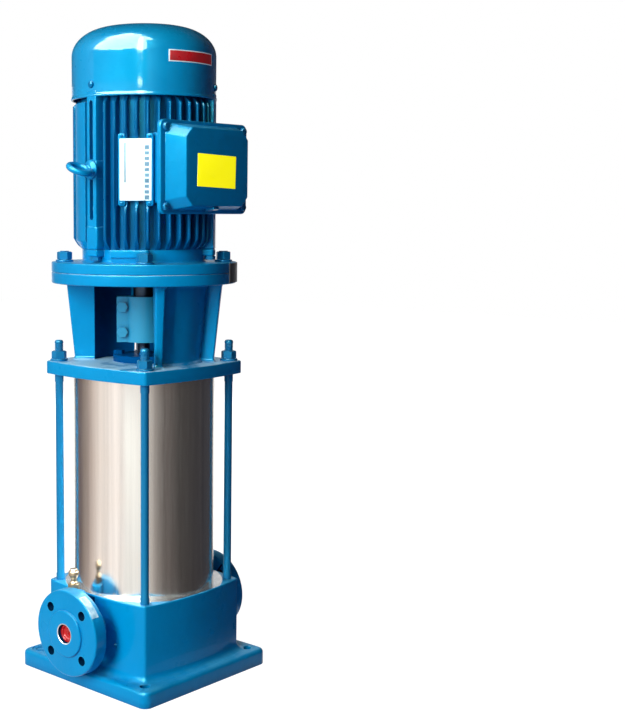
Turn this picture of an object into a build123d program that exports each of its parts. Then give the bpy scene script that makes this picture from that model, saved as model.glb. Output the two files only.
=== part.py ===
# A vertical multistage in-line water pump with its flange motor, in millimetres.
# The origin is the centre of the foot's underside. +Z is up, and the inlet faces -X.
import os
from math import atan2, cos, radians, sin, sqrt
from build123d import *

os.makedirs("parts", exist_ok=True)

# Clearances
seat_gap = 0.2          # round a fixed piece in its seat
press_gap = 0.05        # round a piece that is pressed or clamped on a shaft
bearing_gap = 0.05      # round a journal in a plain bush or a needle in its guide
running_gap = 0.5       # round what turns inside a fixed casing

# Base casting
foot_side = 243.6
foot_thickness = 21.7
foot_corner = 11
foot_edge = 5
foot_hole = 14
foot_hole_spacing = 204
base_height = 122.3
base_side = 184.8
base_bulge = 10.6
base_corner = 6
base_edge = 1.5
base_root_fillet = 6
suction_radius = 40
suction_floor = 34
suction_wall = 12
discharge_radius = 86
discharge_floor = 46
casting_wall = 7

# Ports, to the 25 mm PN16 flange
port_drop = 43.8           # from the base's top face down to the ports' axis
port_reach = 150
port_flange = 115
port_flange_thickness = 18.5
port_face = 66
port_face_height = 2.5
port_bore = 25
port_circle_diameter = 85
port_hole = 14
port_hole_count = 4
port_neck_tip = 36
port_neck_root = 42
port_edge = 1.5
plug_recess = 4
plug_length = 12
plug_lip = 2
plug_hollow = 6

# Vent valve behind the inlet flange
vent_set_back = 27
vent_side = 10
vent_boss_length = 26
vent_boss_width = 24
vent_boss_rise = 50.5      # above the ports' axis
vent_hex = 14
vent_hex_height = 10.5
vent_neck = 9
vent_neck_height = 7
vent_needle = 4
vent_needle_depth = 12
vent_needle_grip = 6
vent_knob_waist = 9.6
vent_knob = 14
vent_knob_height = 12.5
vent_knob_flare = 4.2
vent_knob_edge = 2.1

# Drain plug at the back of the base
drain_height = 56
drain_thread = 12
drain_head = 17
drain_head_height = 8

# Outer sleeve, its flat seals and the tie rods
sleeve_diameter = 193.1
sleeve_wall = 2
sleeve_seat = 4
sleeve_seal = 1.5
rod_offset = 82
rod_shank = 10.8
rod_thread = 12
rod_root = 20
rod_low_thread = 9
rod_high_thread = 12
rod_end = 28.4
rod_hole = 13.5
nut_width = 18
nut_height = 10.8
washer_diameter = 24
washer_thickness = 2.5

# Motor bracket
plate_thickness = 17.6
plate_side = 189.4
plate_bulge = 9.4
plate_corner = 6
plate_edge = 2
plate_bore = 56
window_height = 106.8
guard_low_reach = 88
guard_high_reach = 98
guard_sheet = 1.5
guard_half_angle = 50.6
guard_fold = 12
bracket_ring = 250
ring_thickness = 14.7
ring_edge = 1
wall_angles = (90, 270)
wall_low_radius = 77
wall_high_radius = 87
wall_thickness = 8
wall_half_angle = 34
rib_low_reach = 96
rib_high_reach = 107
rib_low_thickness = 10.6
rib_high_thickness = 14

# Shaft seal
gland_diameter = 84
gland_thickness = 9
gland_wall = 5
gland_depth = 14
gland_circle_diameter = 68
gland_screw_count = 4
small_screw = 8
small_head = 13
small_head_height = 5.5
gland_screw_length = 12
seal_seat_diameter = 34
seal_seat_height = 8
seal_ring_diameter = 30
seal_carrier_diameter = 26

# Pump stages
stage_count = 6
stage_pitch = 42
chamber_diameter = 148
chamber_wall = 2.5
chamber_floor = 2.5
diaphragm_level = 19
diaphragm_rim = 4
guide_vane_count = 7
guide_vane_thickness = 2.4
guide_vane_turn = 40
guide_vane_bow = 6
guide_vane_inset = 14
suction_ring_height = 12
spoke_count = 3
spoke_width = 8
spoke_ring = 6
impeller_diameter = 116
impeller_gap = 2
shroud_thickness = 2
vane_height = 8
impeller_vanes = 6
impeller_vane_thickness = 2.4
impeller_vane_turn = 46
impeller_vane_bow = 9
impeller_rim = 2
eye_diameter = 45
eye_wall = 2.5
hub_diameter = 22
cover_thickness = 4
cover_slots = 8
cover_slot_radius = 50
cover_slot_length = 24
cover_slot_width = 10
cover_pillars = 4
cover_pillar_radius = 66
cover_pillar_diameter = 10
cover_space = 24.7
pump_shaft_diameter = 16
shaft_foot = 10
bush_wall = 3.5
bush_length = 17
collar_height = 2

# Clamp coupling
coupling_diameter = 50
coupling_length = 61.6
coupling_low_grip = 35.3
coupling_turn = -45
coupling_split = 1.5
coupling_ear_reach = 37
coupling_ear_thickness = 24
coupling_bolt_offset = 29.5
coupling_bolt_pitch = 34
coupling_bolt_end = 4
small_nut_height = 6.5
shaft_end_gap = 2

# Motor: flange to frame size 100
shield_thickness = 13.4
shield_edge = 1
shield_neck_height = 17.5
shield_neck = 166.6
shield_neck_wall = 8
shield_web = 8
spigot_diameter = 180
spigot_height = 4
flange_circle_diameter = 215
flange_stud_end = 1
shield_lug_width = 18
shield_lug_height = 9
shield_lug_gap = 1
shield_block_reach = 94.5
shield_block_start = 197
shield_block_end = 226
shield_block_step = 3
shield_block_foot = 7
shield_boss = 10
motor_shaft_diameter = 28
motor_shaft_extension = 60
bearing_bore = 30
bearing_outer = 62
bearing_width = 16
bearing_race = 5
bearing_level = 2.5
bearing_land = 4
hub_wall = 7

# Stator frame with its fins
frame_length = 203
barrel_diameter = 168
barrel_wall = 4
fin_tip = 190
fin_count = 40
fin_first_angle = 227.6
fin_thickness = 3
fin_foot_rise = 13
eye_angle = 180
rail_angles = [eye_angle + 120 * rail for rail in range(3)]
rail_width = 16
rail_reach = 97
rail_clear_angle = 6.5
rail_groove_width = 4
rail_groove_depth = 8
rail_groove_start = 38
rail_groove_end = 12
panel_start = 144
panel_end = 172
panel_clear_angle = 2
panel_reach = 92
name_pad_angle = 218
name_pad_width = 46
name_pad_height = 92
name_ear_width = 10
name_pad_reach = 94
name_pad_level = 683
name_plate_width = 41
name_plate_height = 78
name_plate_thickness = 1
stator_bore = 104
stator_length = 120
stator_level = 34
coil_height = 22
coil_gap = 6
air_gap = 0.5
rotor_shaft_diameter = 38
endshield_bolt_radius = 91
endshield_bolt_depth = 14

# Rear endshield, fan and cowl
rear_thickness = 8
rear_rim_height = 16
rear_radius = 88
fan_shaft_diameter = 24
fan_diameter = 164
fan_disc = 2.5
fan_hub_diameter = 44
fan_hub_height = 22
fan_lift = 8
fan_blades = 8
fan_blade_height = 24
fan_blade_thickness = 2.5
fan_shaft_end = 3
cowl_diameter = 193.7
cowl_wall = 1.5
cowl_overlap = 7.6
cowl_side = 57.1
cowl_shoulder = 38.2
cowl_shoulder_turn = 90
cowl_shoulder_width = 54
cowl_slots = 20
cowl_slot_length = 24
cowl_slot_width = 3
cowl_slot_radius = 27
cowl_screw_rise = 15.6
cowl_screw = 5
cowl_screw_head = 9
cowl_screw_head_height = 3.6
cowl_screw_depth = 6

# Terminal box on the -Y side
box_level = 685.5
box_seat_reach = 93
box_seat_width = 112
box_seat_height = 90
box_depth = 10
box_mouth_width = 160
box_mouth_height = 111
box_wall = 4
screw_end_gap = 1
box_window_width = 70
box_window_height = 50
gasket_thickness = 1
gasket_width = 5
lid_overhang = 3
lid_rim_thickness = 6
lid_rim_corner = 9
lid_edge = 1
lid_step_x = 10
lid_step_z = 5.5
lid_taper_x = 13
lid_taper_z = 4
lid_depth = 22
lid_corner_cut = 12
lid_wall = 3
lid_screw_inset = 6
lid_screw_boss = 13
lid_screw = 6
lid_screw_head = 10
lid_screw_head_height = 4
lid_screw_depth = 14
board_width = 62
board_height = 36
board_thickness = 7
stud_pitch = 20
stud_diameter = 5
stud_height = 12
entry_thread = 12
entry_head = 17
entry_head_height = 3

# Lifting eye on the -X rail
eye_level = 684
eye_ring_outer = 36
eye_ring_section = 8
eye_collar = 24
eye_collar_height = 5
eye_tilt = 25
eye_ring_sink = 2.5
eye_thread = 8
eye_thread_depth = 9

# Levels up the pump, from the floor
port_height = base_height - port_drop
vent_boss_top = port_height + vent_boss_rise
sleeve_clear_length = suction_ring_height + stage_count * stage_pitch + cover_space
plate_bottom = base_height + sleeve_clear_length
plate_top = plate_bottom + plate_thickness
ring_bottom = plate_top + window_height
ring_top = ring_bottom + ring_thickness
shield_top = ring_top + shield_thickness
frame_bottom = shield_top + shield_neck_height
frame_top = frame_bottom + frame_length
cowl_bottom = frame_top - cowl_overlap
cowl_shoulder_level = cowl_bottom + cowl_side
cowl_top = cowl_shoulder_level + cowl_shoulder
stack_bottom = base_height + suction_ring_height
stack_top = stack_bottom + stage_count * stage_pitch
motor_shaft_end = ring_top - motor_shaft_extension
coupling_bottom = motor_shaft_end - coupling_low_grip
pump_shaft_top = motor_shaft_end - shaft_end_gap
impeller_bottom = chamber_floor + impeller_gap
impeller_height = 2 * shroud_thickness + vane_height
first_hub = stack_bottom + impeller_bottom
last_hub = stack_top + impeller_bottom
vent_offset = port_reach - vent_set_back

# Radii that several pieces share
sleeve_radius = sleeve_diameter / 2
groove_outer = sleeve_radius + seat_gap
groove_inner = sleeve_radius - sleeve_wall - seat_gap
groove_depth = sleeve_seat + sleeve_seal
pump_journal = pump_shaft_diameter / 2
motor_journal = motor_shaft_diameter / 2
hub_radius = hub_diameter / 2
hub_hole = hub_radius + running_gap
barrel_radius = barrel_diameter / 2
barrel_bore = barrel_radius - barrel_wall
bearing_pocket = bearing_outer / 2
chamber_radius = chamber_diameter / 2
rod_square = GridLocations(2 * rod_offset, 2 * rod_offset, 2, 2)
corner_turn = 45
corner_angles = [corner_turn + 90 * corner for corner in range(4)]


def bulged_square(side, bulge, corner):
    # Four shallow arcs between the corners of a square, with the corners rounded
    half = side / 2
    middle = half + bulge
    with BuildSketch(Plane.XY, mode=Mode.PRIVATE) as square:
        with BuildLine():
            ThreePointArc((half, -half), (middle, 0), (half, half))
            ThreePointArc((half, half), (0, middle), (-half, half))
            ThreePointArc((-half, half), (-middle, 0), (-half, -half))
            ThreePointArc((-half, -half), (0, -middle), (half, -half))
        make_face()
        fillet(square.vertices(), corner)
    return square.sketch


def ring_sector(inner, outer, start, end):
    # A piece of a flat ring between two angles
    with BuildSketch(Plane.XY, mode=Mode.PRIVATE) as sector:
        with BuildLine():
            outside = CenterArc((0, 0), outer, start, end - start)
            inside = CenterArc((0, 0), inner, start, end - start)
            Line(outside @ 0, inside @ 0)
            Line(outside @ 1, inside @ 1)
        make_face()
    return sector.sketch


def upright_plane(angle, reach, level):
    # A plane that faces outwards at a distance from the axis, with its own x level
    turn = radians(angle)
    out = Vector(cos(turn), sin(turn), 0)
    return Plane(
        origin=out * reach + Vector(0, 0, level),
        x_dir=(-sin(turn), cos(turn), 0),
        z_dir=out,
    )


def around(radius, angles):
    # Places on a circle about the axis, each turned to face outwards
    return [Location(Vector(radius * cos(radians(a)), radius * sin(radians(a)), 0), (0, 0, a))
            for a in angles]


def blade_bow(start, end, turn):
    # The middle point of a curved blade, turned back from the straight line
    return ((start + end) / 2).rotate(Axis.Z, -turn)


# Base casting with its foot, ports and water passages
port_rim = port_height + port_flange / 2
with BuildPart() as pump_base:
    with BuildSketch():
        RectangleRounded(foot_side, foot_side, foot_corner)
    extrude(amount=foot_thickness)
    fillet(pump_base.edges().group_by(Axis.Z)[-1], foot_edge)
    with BuildSketch(Plane.XY.offset(foot_thickness)):
        add(bulged_square(base_side, base_bulge, base_corner))
    extrude(amount=base_height - foot_thickness)
    foot_top = pump_base.faces().filter_by_position(Axis.Z, foot_thickness, foot_thickness)
    fillet(foot_top[0].inner_wires()[0].edges(), base_root_fillet)
    fillet(pump_base.faces().sort_by(Axis.Z)[-1].edges(), base_edge)
    with BuildSketch(Plane.XZ):
        with BuildLine():
            Polyline(
                (0, port_height),
                (port_reach, port_height),
                (port_reach, port_height + port_face / 2),
                (port_reach - port_face_height, port_height + port_face / 2),
                (port_reach - port_face_height, port_rim - port_edge),
                (port_reach - port_face_height - port_edge, port_rim),
                (port_reach - port_flange_thickness + port_edge, port_rim),
                (port_reach - port_flange_thickness, port_rim - port_edge),
                (port_reach - port_flange_thickness, port_height + port_neck_tip),
                (base_side / 2, port_height + port_neck_root),
                (base_side / 2, port_height + port_neck_tip),
                (0, port_height + port_neck_tip),
                close=True,
            )
        make_face()
        mirror(about=Plane.YZ)
    revolve(axis=Axis((0, 0, port_height), (1, 0, 0)))
    with Locations((-vent_offset, vent_side, port_height)):
        Box(vent_boss_length, vent_boss_width, vent_boss_top - port_height,
            align=(Align.CENTER, Align.CENTER, Align.MIN))
    with BuildSketch(Plane.XY.offset(base_height)):
        Circle(discharge_radius)
        Circle(suction_radius + suction_wall, mode=Mode.SUBTRACT)
    extrude(amount=discharge_floor - base_height, mode=Mode.SUBTRACT)
    with BuildSketch(Plane.YZ.offset(-discharge_radius - casting_wall)):
        with Locations((0, port_height)):
            Circle(port_bore / 2 + casting_wall)
    extrude(amount=discharge_radius + casting_wall - suction_radius)
    with BuildSketch(Plane.XY.offset(base_height)):
        Circle(suction_radius)
    extrude(amount=suction_floor - base_height, mode=Mode.SUBTRACT)
    with BuildSketch(Plane.YZ.offset(-port_reach)):
        with Locations((0, port_height)):
            Circle(port_bore / 2)
    extrude(amount=port_reach - suction_radius / 2, mode=Mode.SUBTRACT)
    with BuildSketch(Plane.YZ.offset(port_reach)):
        with Locations((0, port_height)):
            Circle(port_bore / 2)
    extrude(amount=discharge_radius - casting_wall - port_reach, mode=Mode.SUBTRACT)
    with BuildSketch(Plane.YZ.offset(-port_reach)):
        with Locations((0, port_height)), PolarLocations(port_circle_diameter / 2, port_hole_count, corner_turn):
            Circle(port_hole / 2)
    extrude(amount=port_flange_thickness, mode=Mode.SUBTRACT)
    with BuildSketch(Plane.YZ.offset(port_reach)):
        with Locations((0, port_height)), PolarLocations(port_circle_diameter / 2, port_hole_count, corner_turn):
            Circle(port_hole / 2)
    extrude(amount=-port_flange_thickness, mode=Mode.SUBTRACT)
    with BuildSketch():
        with GridLocations(foot_hole_spacing, foot_hole_spacing, 2, 2):
            Circle(foot_hole / 2)
    extrude(amount=foot_thickness, mode=Mode.SUBTRACT)
    with BuildSketch(Plane.XY.offset(base_height)):
        Circle(groove_outer)
        Circle(groove_inner, mode=Mode.SUBTRACT)
    extrude(amount=-groove_depth, mode=Mode.SUBTRACT)
    with BuildSketch(Plane.XY.offset(base_height)):
        with rod_square:
            Circle(rod_thread / 2 + seat_gap)
    extrude(amount=-rod_root, mode=Mode.SUBTRACT)
    with BuildSketch(Plane.XY.offset(vent_boss_top)):
        with Locations((-vent_offset, vent_side)):
            Circle(vent_needle / 2 + bearing_gap)
    extrude(amount=port_height - vent_boss_top, mode=Mode.SUBTRACT)
    with BuildSketch(Plane.XZ.offset(-base_side / 2 - base_bulge)):
        with Locations((0, drain_height)):
            Circle(drain_thread / 2 + seat_gap)
    extrude(amount=base_side / 2 + base_bulge - discharge_radius + casting_wall, mode=Mode.SUBTRACT)
pump_base.part.label = "pump_base"
export_step(pump_base.part, "parts/pump_base.step")

# Push-in plugs that keep the two ports clean
for port_name, port_side in (("inlet", -1), ("outlet", 1)):
    with BuildPart() as port_plug:
        plug_face = port_side * (port_reach - plug_recess)
        with BuildSketch(Plane.YZ.offset(plug_face)):
            with Locations((0, port_height)):
                Circle(port_bore / 2 - seat_gap)
        extrude(amount=-port_side * plug_length)
        with BuildSketch(Plane.YZ.offset(plug_face)):
            with Locations((0, port_height)):
                Circle(port_bore / 2 - plug_lip)
        extrude(amount=-port_side * plug_hollow, mode=Mode.SUBTRACT)
    port_plug.part.label = f"{port_name}_plug"
    export_step(port_plug.part, f"parts/{port_name}_plug.step")

# Vent valve: hexagon body, needle and turning knob
vent_neck_top = vent_boss_top + vent_hex_height + vent_neck_height
vent_knob_bottom = vent_neck_top + running_gap
with BuildPart() as vent_body:
    with BuildSketch(Plane.XY.offset(vent_boss_top)):
        with Locations((-vent_offset, vent_side)):
            RegularPolygon(vent_hex / 2, 6, major_radius=False)
    extrude(amount=vent_hex_height)
    with BuildSketch(Plane.XY.offset(vent_boss_top)):
        with Locations((-vent_offset, vent_side)):
            Circle(vent_neck / 2)
    extrude(amount=vent_hex_height + vent_neck_height)
    with BuildSketch(Plane.XY.offset(vent_boss_top)):
        with Locations((-vent_offset, vent_side)):
            Circle(vent_needle / 2 + bearing_gap)
    extrude(amount=vent_hex_height + vent_neck_height, mode=Mode.SUBTRACT)
vent_body.part.label = "vent_body"
export_step(vent_body.part, "parts/vent_body.step")

with BuildPart() as vent_needle_part:
    with BuildSketch(Plane.XY.offset(vent_boss_top - vent_needle_depth)):
        with Locations((-vent_offset, vent_side)):
            Circle(vent_needle / 2)
    extrude(amount=vent_knob_bottom + vent_needle_grip - vent_boss_top + vent_needle_depth)
vent_needle_part.part.label = "vent_needle"
export_step(vent_needle_part.part, "parts/vent_needle.step")

with BuildPart() as vent_knob_part:
    knob_top = vent_knob_bottom + vent_knob_height
    with BuildSketch(Plane.XZ.offset(-vent_side)):
        with BuildLine():
            Polyline(
                (-vent_offset, vent_knob_bottom),
                (-vent_offset + vent_knob_waist / 2, vent_knob_bottom),
                (-vent_offset + vent_knob / 2, vent_knob_bottom + vent_knob_flare),
                (-vent_offset + vent_knob / 2, knob_top - vent_knob_edge),
                (-vent_offset + vent_knob_waist / 2, knob_top),
                (-vent_offset, knob_top),
                close=True,
            )
        make_face()
    revolve(axis=Axis((-vent_offset, vent_side, 0), (0, 0, 1)))
    with BuildSketch(Plane.XY.offset(vent_knob_bottom)):
        with Locations((-vent_offset, vent_side)):
            Circle(vent_needle / 2 + bearing_gap)
    extrude(amount=vent_needle_grip + seat_gap, mode=Mode.SUBTRACT)
vent_knob_part.part.label = "vent_knob"
export_step(vent_knob_part.part, "parts/vent_knob.step")

# Drain plug, screwed into the discharge space from +Y
drain_face = base_side / 2 + base_bulge
with BuildPart() as drain_plug:
    with BuildSketch(Plane.XZ.offset(-drain_face)):
        with Locations((0, drain_height)):
            RegularPolygon(drain_head / 2, 6, major_radius=False)
    extrude(amount=-drain_head_height)
    with BuildSketch(Plane.XZ.offset(-drain_face)):
        with Locations((0, drain_height)):
            Circle(drain_thread / 2)
    extrude(amount=drain_face - discharge_radius)
drain_plug.part.label = "drain_plug"
export_step(drain_plug.part, "parts/drain_plug.step")

# Stainless outer sleeve and the flat seals at its two ends
with BuildPart() as outer_sleeve:
    with BuildSketch(Plane.XY.offset(base_height - sleeve_seat)):
        Circle(sleeve_radius)
        Circle(sleeve_radius - sleeve_wall, mode=Mode.SUBTRACT)
    extrude(amount=sleeve_clear_length + 2 * sleeve_seat)
outer_sleeve.part.label = "outer_sleeve"
export_step(outer_sleeve.part, "parts/outer_sleeve.step")

with BuildPart() as sleeve_seals:
    for seal_level in (base_height - groove_depth, plate_bottom + sleeve_seat):
        with BuildSketch(Plane.XY.offset(seal_level)):
            Circle(sleeve_radius)
            Circle(sleeve_radius - sleeve_wall, mode=Mode.SUBTRACT)
        extrude(amount=sleeve_seal)
sleeve_seals.part.label = "sleeve_seals"
export_step(sleeve_seals.part, "parts/sleeve_seals.step")

# Four tie rods that clamp the sleeve between the base and the bracket
rod_top = plate_top + rod_end
with BuildPart() as tie_rods:
    with BuildSketch(Plane.XY.offset(base_height - rod_root)):
        with rod_square:
            Circle(rod_thread / 2)
    extrude(amount=rod_root + rod_low_thread)
    with BuildSketch(Plane.XY.offset(base_height + rod_low_thread)):
        with rod_square:
            Circle(rod_shank / 2)
    extrude(amount=sleeve_clear_length - rod_low_thread - rod_high_thread)
    with BuildSketch(Plane.XY.offset(plate_bottom - rod_high_thread)):
        with rod_square:
            Circle(rod_thread / 2)
    extrude(amount=rod_top - plate_bottom + rod_high_thread)
tie_rods.part.label = "tie_rods"
export_step(tie_rods.part, "parts/tie_rods.step")

# The same washers and nuts hold the tie rods and the motor flange
flange_corners = around(flange_circle_diameter / 2, corner_angles)
with BuildPart() as washers:
    for washer_level, washer_places in ((plate_top, rod_square), (shield_top, Locations(*flange_corners))):
        with BuildSketch(Plane.XY.offset(washer_level)):
            with washer_places:
                Circle(washer_diameter / 2)
                Circle(rod_thread / 2 + seat_gap, mode=Mode.SUBTRACT)
        extrude(amount=washer_thickness)
washers.part.label = "washers"
export_step(washers.part, "parts/washers.step")

with BuildPart() as nuts:
    for nut_seat, nut_places in ((plate_top, rod_square), (shield_top, Locations(*flange_corners))):
        with BuildSketch(Plane.XY.offset(nut_seat + washer_thickness)):
            with nut_places:
                RegularPolygon(nut_width / 2, 6, major_radius=False)
                Circle(rod_thread / 2 + seat_gap, mode=Mode.SUBTRACT)
        extrude(amount=nut_height)
nuts.part.label = "nuts"
export_step(nuts.part, "parts/nuts.step")

# Bracket: foot plate, two closed conical walls with ribs at their ends, and top ring
with BuildPart() as motor_bracket:
    with BuildSketch(Plane.XY.offset(plate_bottom)):
        add(bulged_square(plate_side, plate_bulge, plate_corner))
    extrude(amount=plate_thickness)
    fillet(motor_bracket.edges().group_by(Axis.Z)[-1], plate_edge)
    for wall_angle in wall_angles:
        with BuildSketch(Plane.XZ.rotated((0, 0, wall_angle - wall_half_angle))):
            with BuildLine():
                Polyline(
                    (wall_low_radius - wall_thickness, plate_top),
                    (wall_low_radius, plate_top),
                    (wall_high_radius, ring_bottom),
                    (wall_high_radius - wall_thickness, ring_bottom),
                    close=True,
                )
            make_face()
        revolve(axis=Axis.Z, revolution_arc=2 * wall_half_angle)
    for rib_middle in [wall_angle + side * wall_half_angle for wall_angle in wall_angles
                       for side in (-1, 1)]:
        low_middle = (rib_low_reach + wall_low_radius - wall_thickness) / 2
        high_middle = (rib_high_reach + wall_high_radius - wall_thickness) / 2
        with BuildSketch(Plane.XY.offset(plate_top)):
            with Locations(*around(low_middle, (rib_middle,))):
                Rectangle(rib_low_reach - wall_low_radius + wall_thickness, rib_low_thickness)
        with BuildSketch(Plane.XY.offset(ring_bottom)):
            with Locations(*around(high_middle, (rib_middle,))):
                Rectangle(rib_high_reach - wall_high_radius + wall_thickness, rib_high_thickness)
        loft()
    with BuildSketch(Plane.XY.offset(ring_bottom)):
        Circle(bracket_ring / 2)
        Circle(wall_high_radius - wall_thickness, mode=Mode.SUBTRACT)
    extrude(amount=ring_thickness)
    ring_faces = motor_bracket.faces().filter_by_position(Axis.Z, ring_bottom, ring_top)
    chamfer(ring_faces.sort_by(Axis.Z)[-1].outer_wire().edges(), ring_edge)
    with BuildSketch(Plane.XY.offset(ring_top)):
        Circle(spigot_diameter / 2 + seat_gap)
    extrude(amount=-spigot_height - running_gap, mode=Mode.SUBTRACT)
    with BuildSketch(Plane.XY.offset(plate_bottom)):
        Circle(groove_outer)
        Circle(groove_inner, mode=Mode.SUBTRACT)
    extrude(amount=groove_depth, mode=Mode.SUBTRACT)
    with BuildSketch(Plane.XY.offset(plate_bottom)):
        Circle(plate_bore / 2)
        with rod_square:
            Circle(rod_hole / 2)
        with PolarLocations(gland_circle_diameter / 2, gland_screw_count, corner_turn):
            Circle(small_screw / 2 + seat_gap)
    extrude(amount=plate_thickness, mode=Mode.SUBTRACT)
    with BuildSketch(Plane.XY.offset(ring_bottom)):
        with Locations(*flange_corners):
            Circle(rod_thread / 2 + seat_gap)
    extrude(amount=ring_thickness, mode=Mode.SUBTRACT)
motor_bracket.part.label = "motor_bracket"
export_step(motor_bracket.part, "parts/motor_bracket.step")

# Sheet guard over the coupling, sprung between the ribs of the window away from the inlet
with BuildPart() as coupling_guard:
    with BuildSketch(Plane.XZ.rotated((0, 0, -guard_half_angle))):
        with BuildLine():
            Polyline(
                (guard_low_reach - guard_sheet, plate_top),
                (guard_low_reach, plate_top),
                (guard_high_reach, ring_bottom - seat_gap),
                (guard_high_reach - guard_sheet, ring_bottom - seat_gap),
                close=True,
            )
        make_face()
    revolve(axis=Axis.Z, revolution_arc=2 * guard_half_angle)
    for fold_angle in (-guard_half_angle, guard_half_angle):
        with BuildSketch(Plane.XY.offset(plate_top)):
            with Locations(*around(guard_low_reach - guard_fold / 2, (fold_angle,))):
                Rectangle(guard_fold, guard_sheet)
        with BuildSketch(Plane.XY.offset(ring_bottom - seat_gap)):
            with Locations(*around(guard_high_reach - guard_fold / 2, (fold_angle,))):
                Rectangle(guard_fold, guard_sheet)
        loft()
coupling_guard.part.label = "coupling_guard"
export_step(coupling_guard.part, "parts/coupling_guard.step")

# Seal gland on the bracket plate, with the fixed and the turning half of the face seal
gland_bore = pump_journal + running_gap
seal_seat_top = plate_top
seal_seat_bottom = seal_seat_top - seal_seat_height
with BuildPart() as seal_gland:
    with BuildSketch(Plane.XY.offset(plate_top)):
        Circle(gland_diameter / 2)
    extrude(amount=gland_thickness)
    with BuildSketch(Plane.XY.offset(plate_top)):
        Circle(plate_bore / 2 - seat_gap)
    extrude(amount=-gland_depth)
    with BuildSketch(Plane.XY.offset(plate_top + gland_thickness)):
        Circle(gland_bore)
    extrude(amount=-gland_thickness, mode=Mode.SUBTRACT)
    with BuildSketch(Plane.XY.offset(plate_top)):
        Circle(seal_seat_diameter / 2 + seat_gap)
    extrude(amount=-seal_seat_height, mode=Mode.SUBTRACT)
    with BuildSketch(Plane.XY.offset(seal_seat_bottom)):
        Circle(plate_bore / 2 - seat_gap - gland_wall)
    extrude(amount=-gland_depth + seal_seat_height, mode=Mode.SUBTRACT)
    with BuildSketch(Plane.XY.offset(plate_top)):
        with PolarLocations(gland_circle_diameter / 2, gland_screw_count, corner_turn):
            Circle(small_screw / 2 + seat_gap)
    extrude(amount=gland_thickness, mode=Mode.SUBTRACT)
seal_gland.part.label = "seal_gland"
export_step(seal_gland.part, "parts/seal_gland.step")

with BuildPart() as gland_screws_part:
    with BuildSketch(Plane.XY.offset(plate_top + gland_thickness)):
        with PolarLocations(gland_circle_diameter / 2, gland_screw_count, corner_turn):
            RegularPolygon(small_head / 2, 6, major_radius=False)
    extrude(amount=small_head_height)
    with BuildSketch(Plane.XY.offset(plate_top + gland_thickness)):
        with PolarLocations(gland_circle_diameter / 2, gland_screw_count, corner_turn):
            Circle(small_screw / 2)
    extrude(amount=-gland_thickness - gland_screw_length)
gland_screws_part.part.label = "gland_screws"
export_step(gland_screws_part.part, "parts/gland_screws.step")

with BuildPart() as seal_seat:
    with BuildSketch(Plane.XY.offset(seal_seat_bottom)):
        Circle(seal_seat_diameter / 2)
        Circle(gland_bore, mode=Mode.SUBTRACT)
    extrude(amount=seal_seat_height)
seal_seat.part.label = "seal_seat"
export_step(seal_seat.part, "parts/seal_seat.step")

seal_rotor_top = seal_seat_bottom - bearing_gap
with BuildPart() as seal_rotor:
    with BuildSketch(Plane.XY.offset(last_hub)):
        Circle(seal_carrier_diameter / 2)
        Circle(pump_journal + press_gap, mode=Mode.SUBTRACT)
    extrude(amount=seal_rotor_top - last_hub)
    with BuildSketch(Plane.XY.offset(seal_rotor_top)):
        Circle(seal_ring_diameter / 2)
        Circle(pump_journal + press_gap, mode=Mode.SUBTRACT)
    extrude(amount=-seal_seat_height)
seal_rotor.part.label = "seal_rotor"
export_step(seal_rotor.part, "parts/seal_rotor.step")

# Ring on the base that leads the water to the first stage and holds the lower bush
bush_radius = pump_journal + bearing_gap + bush_wall
bush_bottom = stack_bottom + collar_height - bush_length
with BuildPart() as suction_ring:
    with BuildSketch(Plane.XY.offset(base_height)):
        Circle(chamber_radius)
        Circle(suction_radius, mode=Mode.SUBTRACT)
        Circle(bush_radius + spoke_ring)
        with PolarLocations((suction_radius + bush_radius) / 2, spoke_count):
            Rectangle(suction_radius - bush_radius + spoke_width / 2, spoke_width)
        Circle(bush_radius + press_gap, mode=Mode.SUBTRACT)
    extrude(amount=suction_ring_height)
suction_ring.part.label = "suction_ring"
export_step(suction_ring.part, "parts/suction_ring.step")

with BuildPart() as lower_bush:
    with BuildSketch(Plane.XY.offset(bush_bottom)):
        Circle(bush_radius)
        Circle(pump_journal + bearing_gap, mode=Mode.SUBTRACT)
    extrude(amount=bush_length)
lower_bush.part.label = "lower_bush"
export_step(lower_bush.part, "parts/lower_bush.step")

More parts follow.
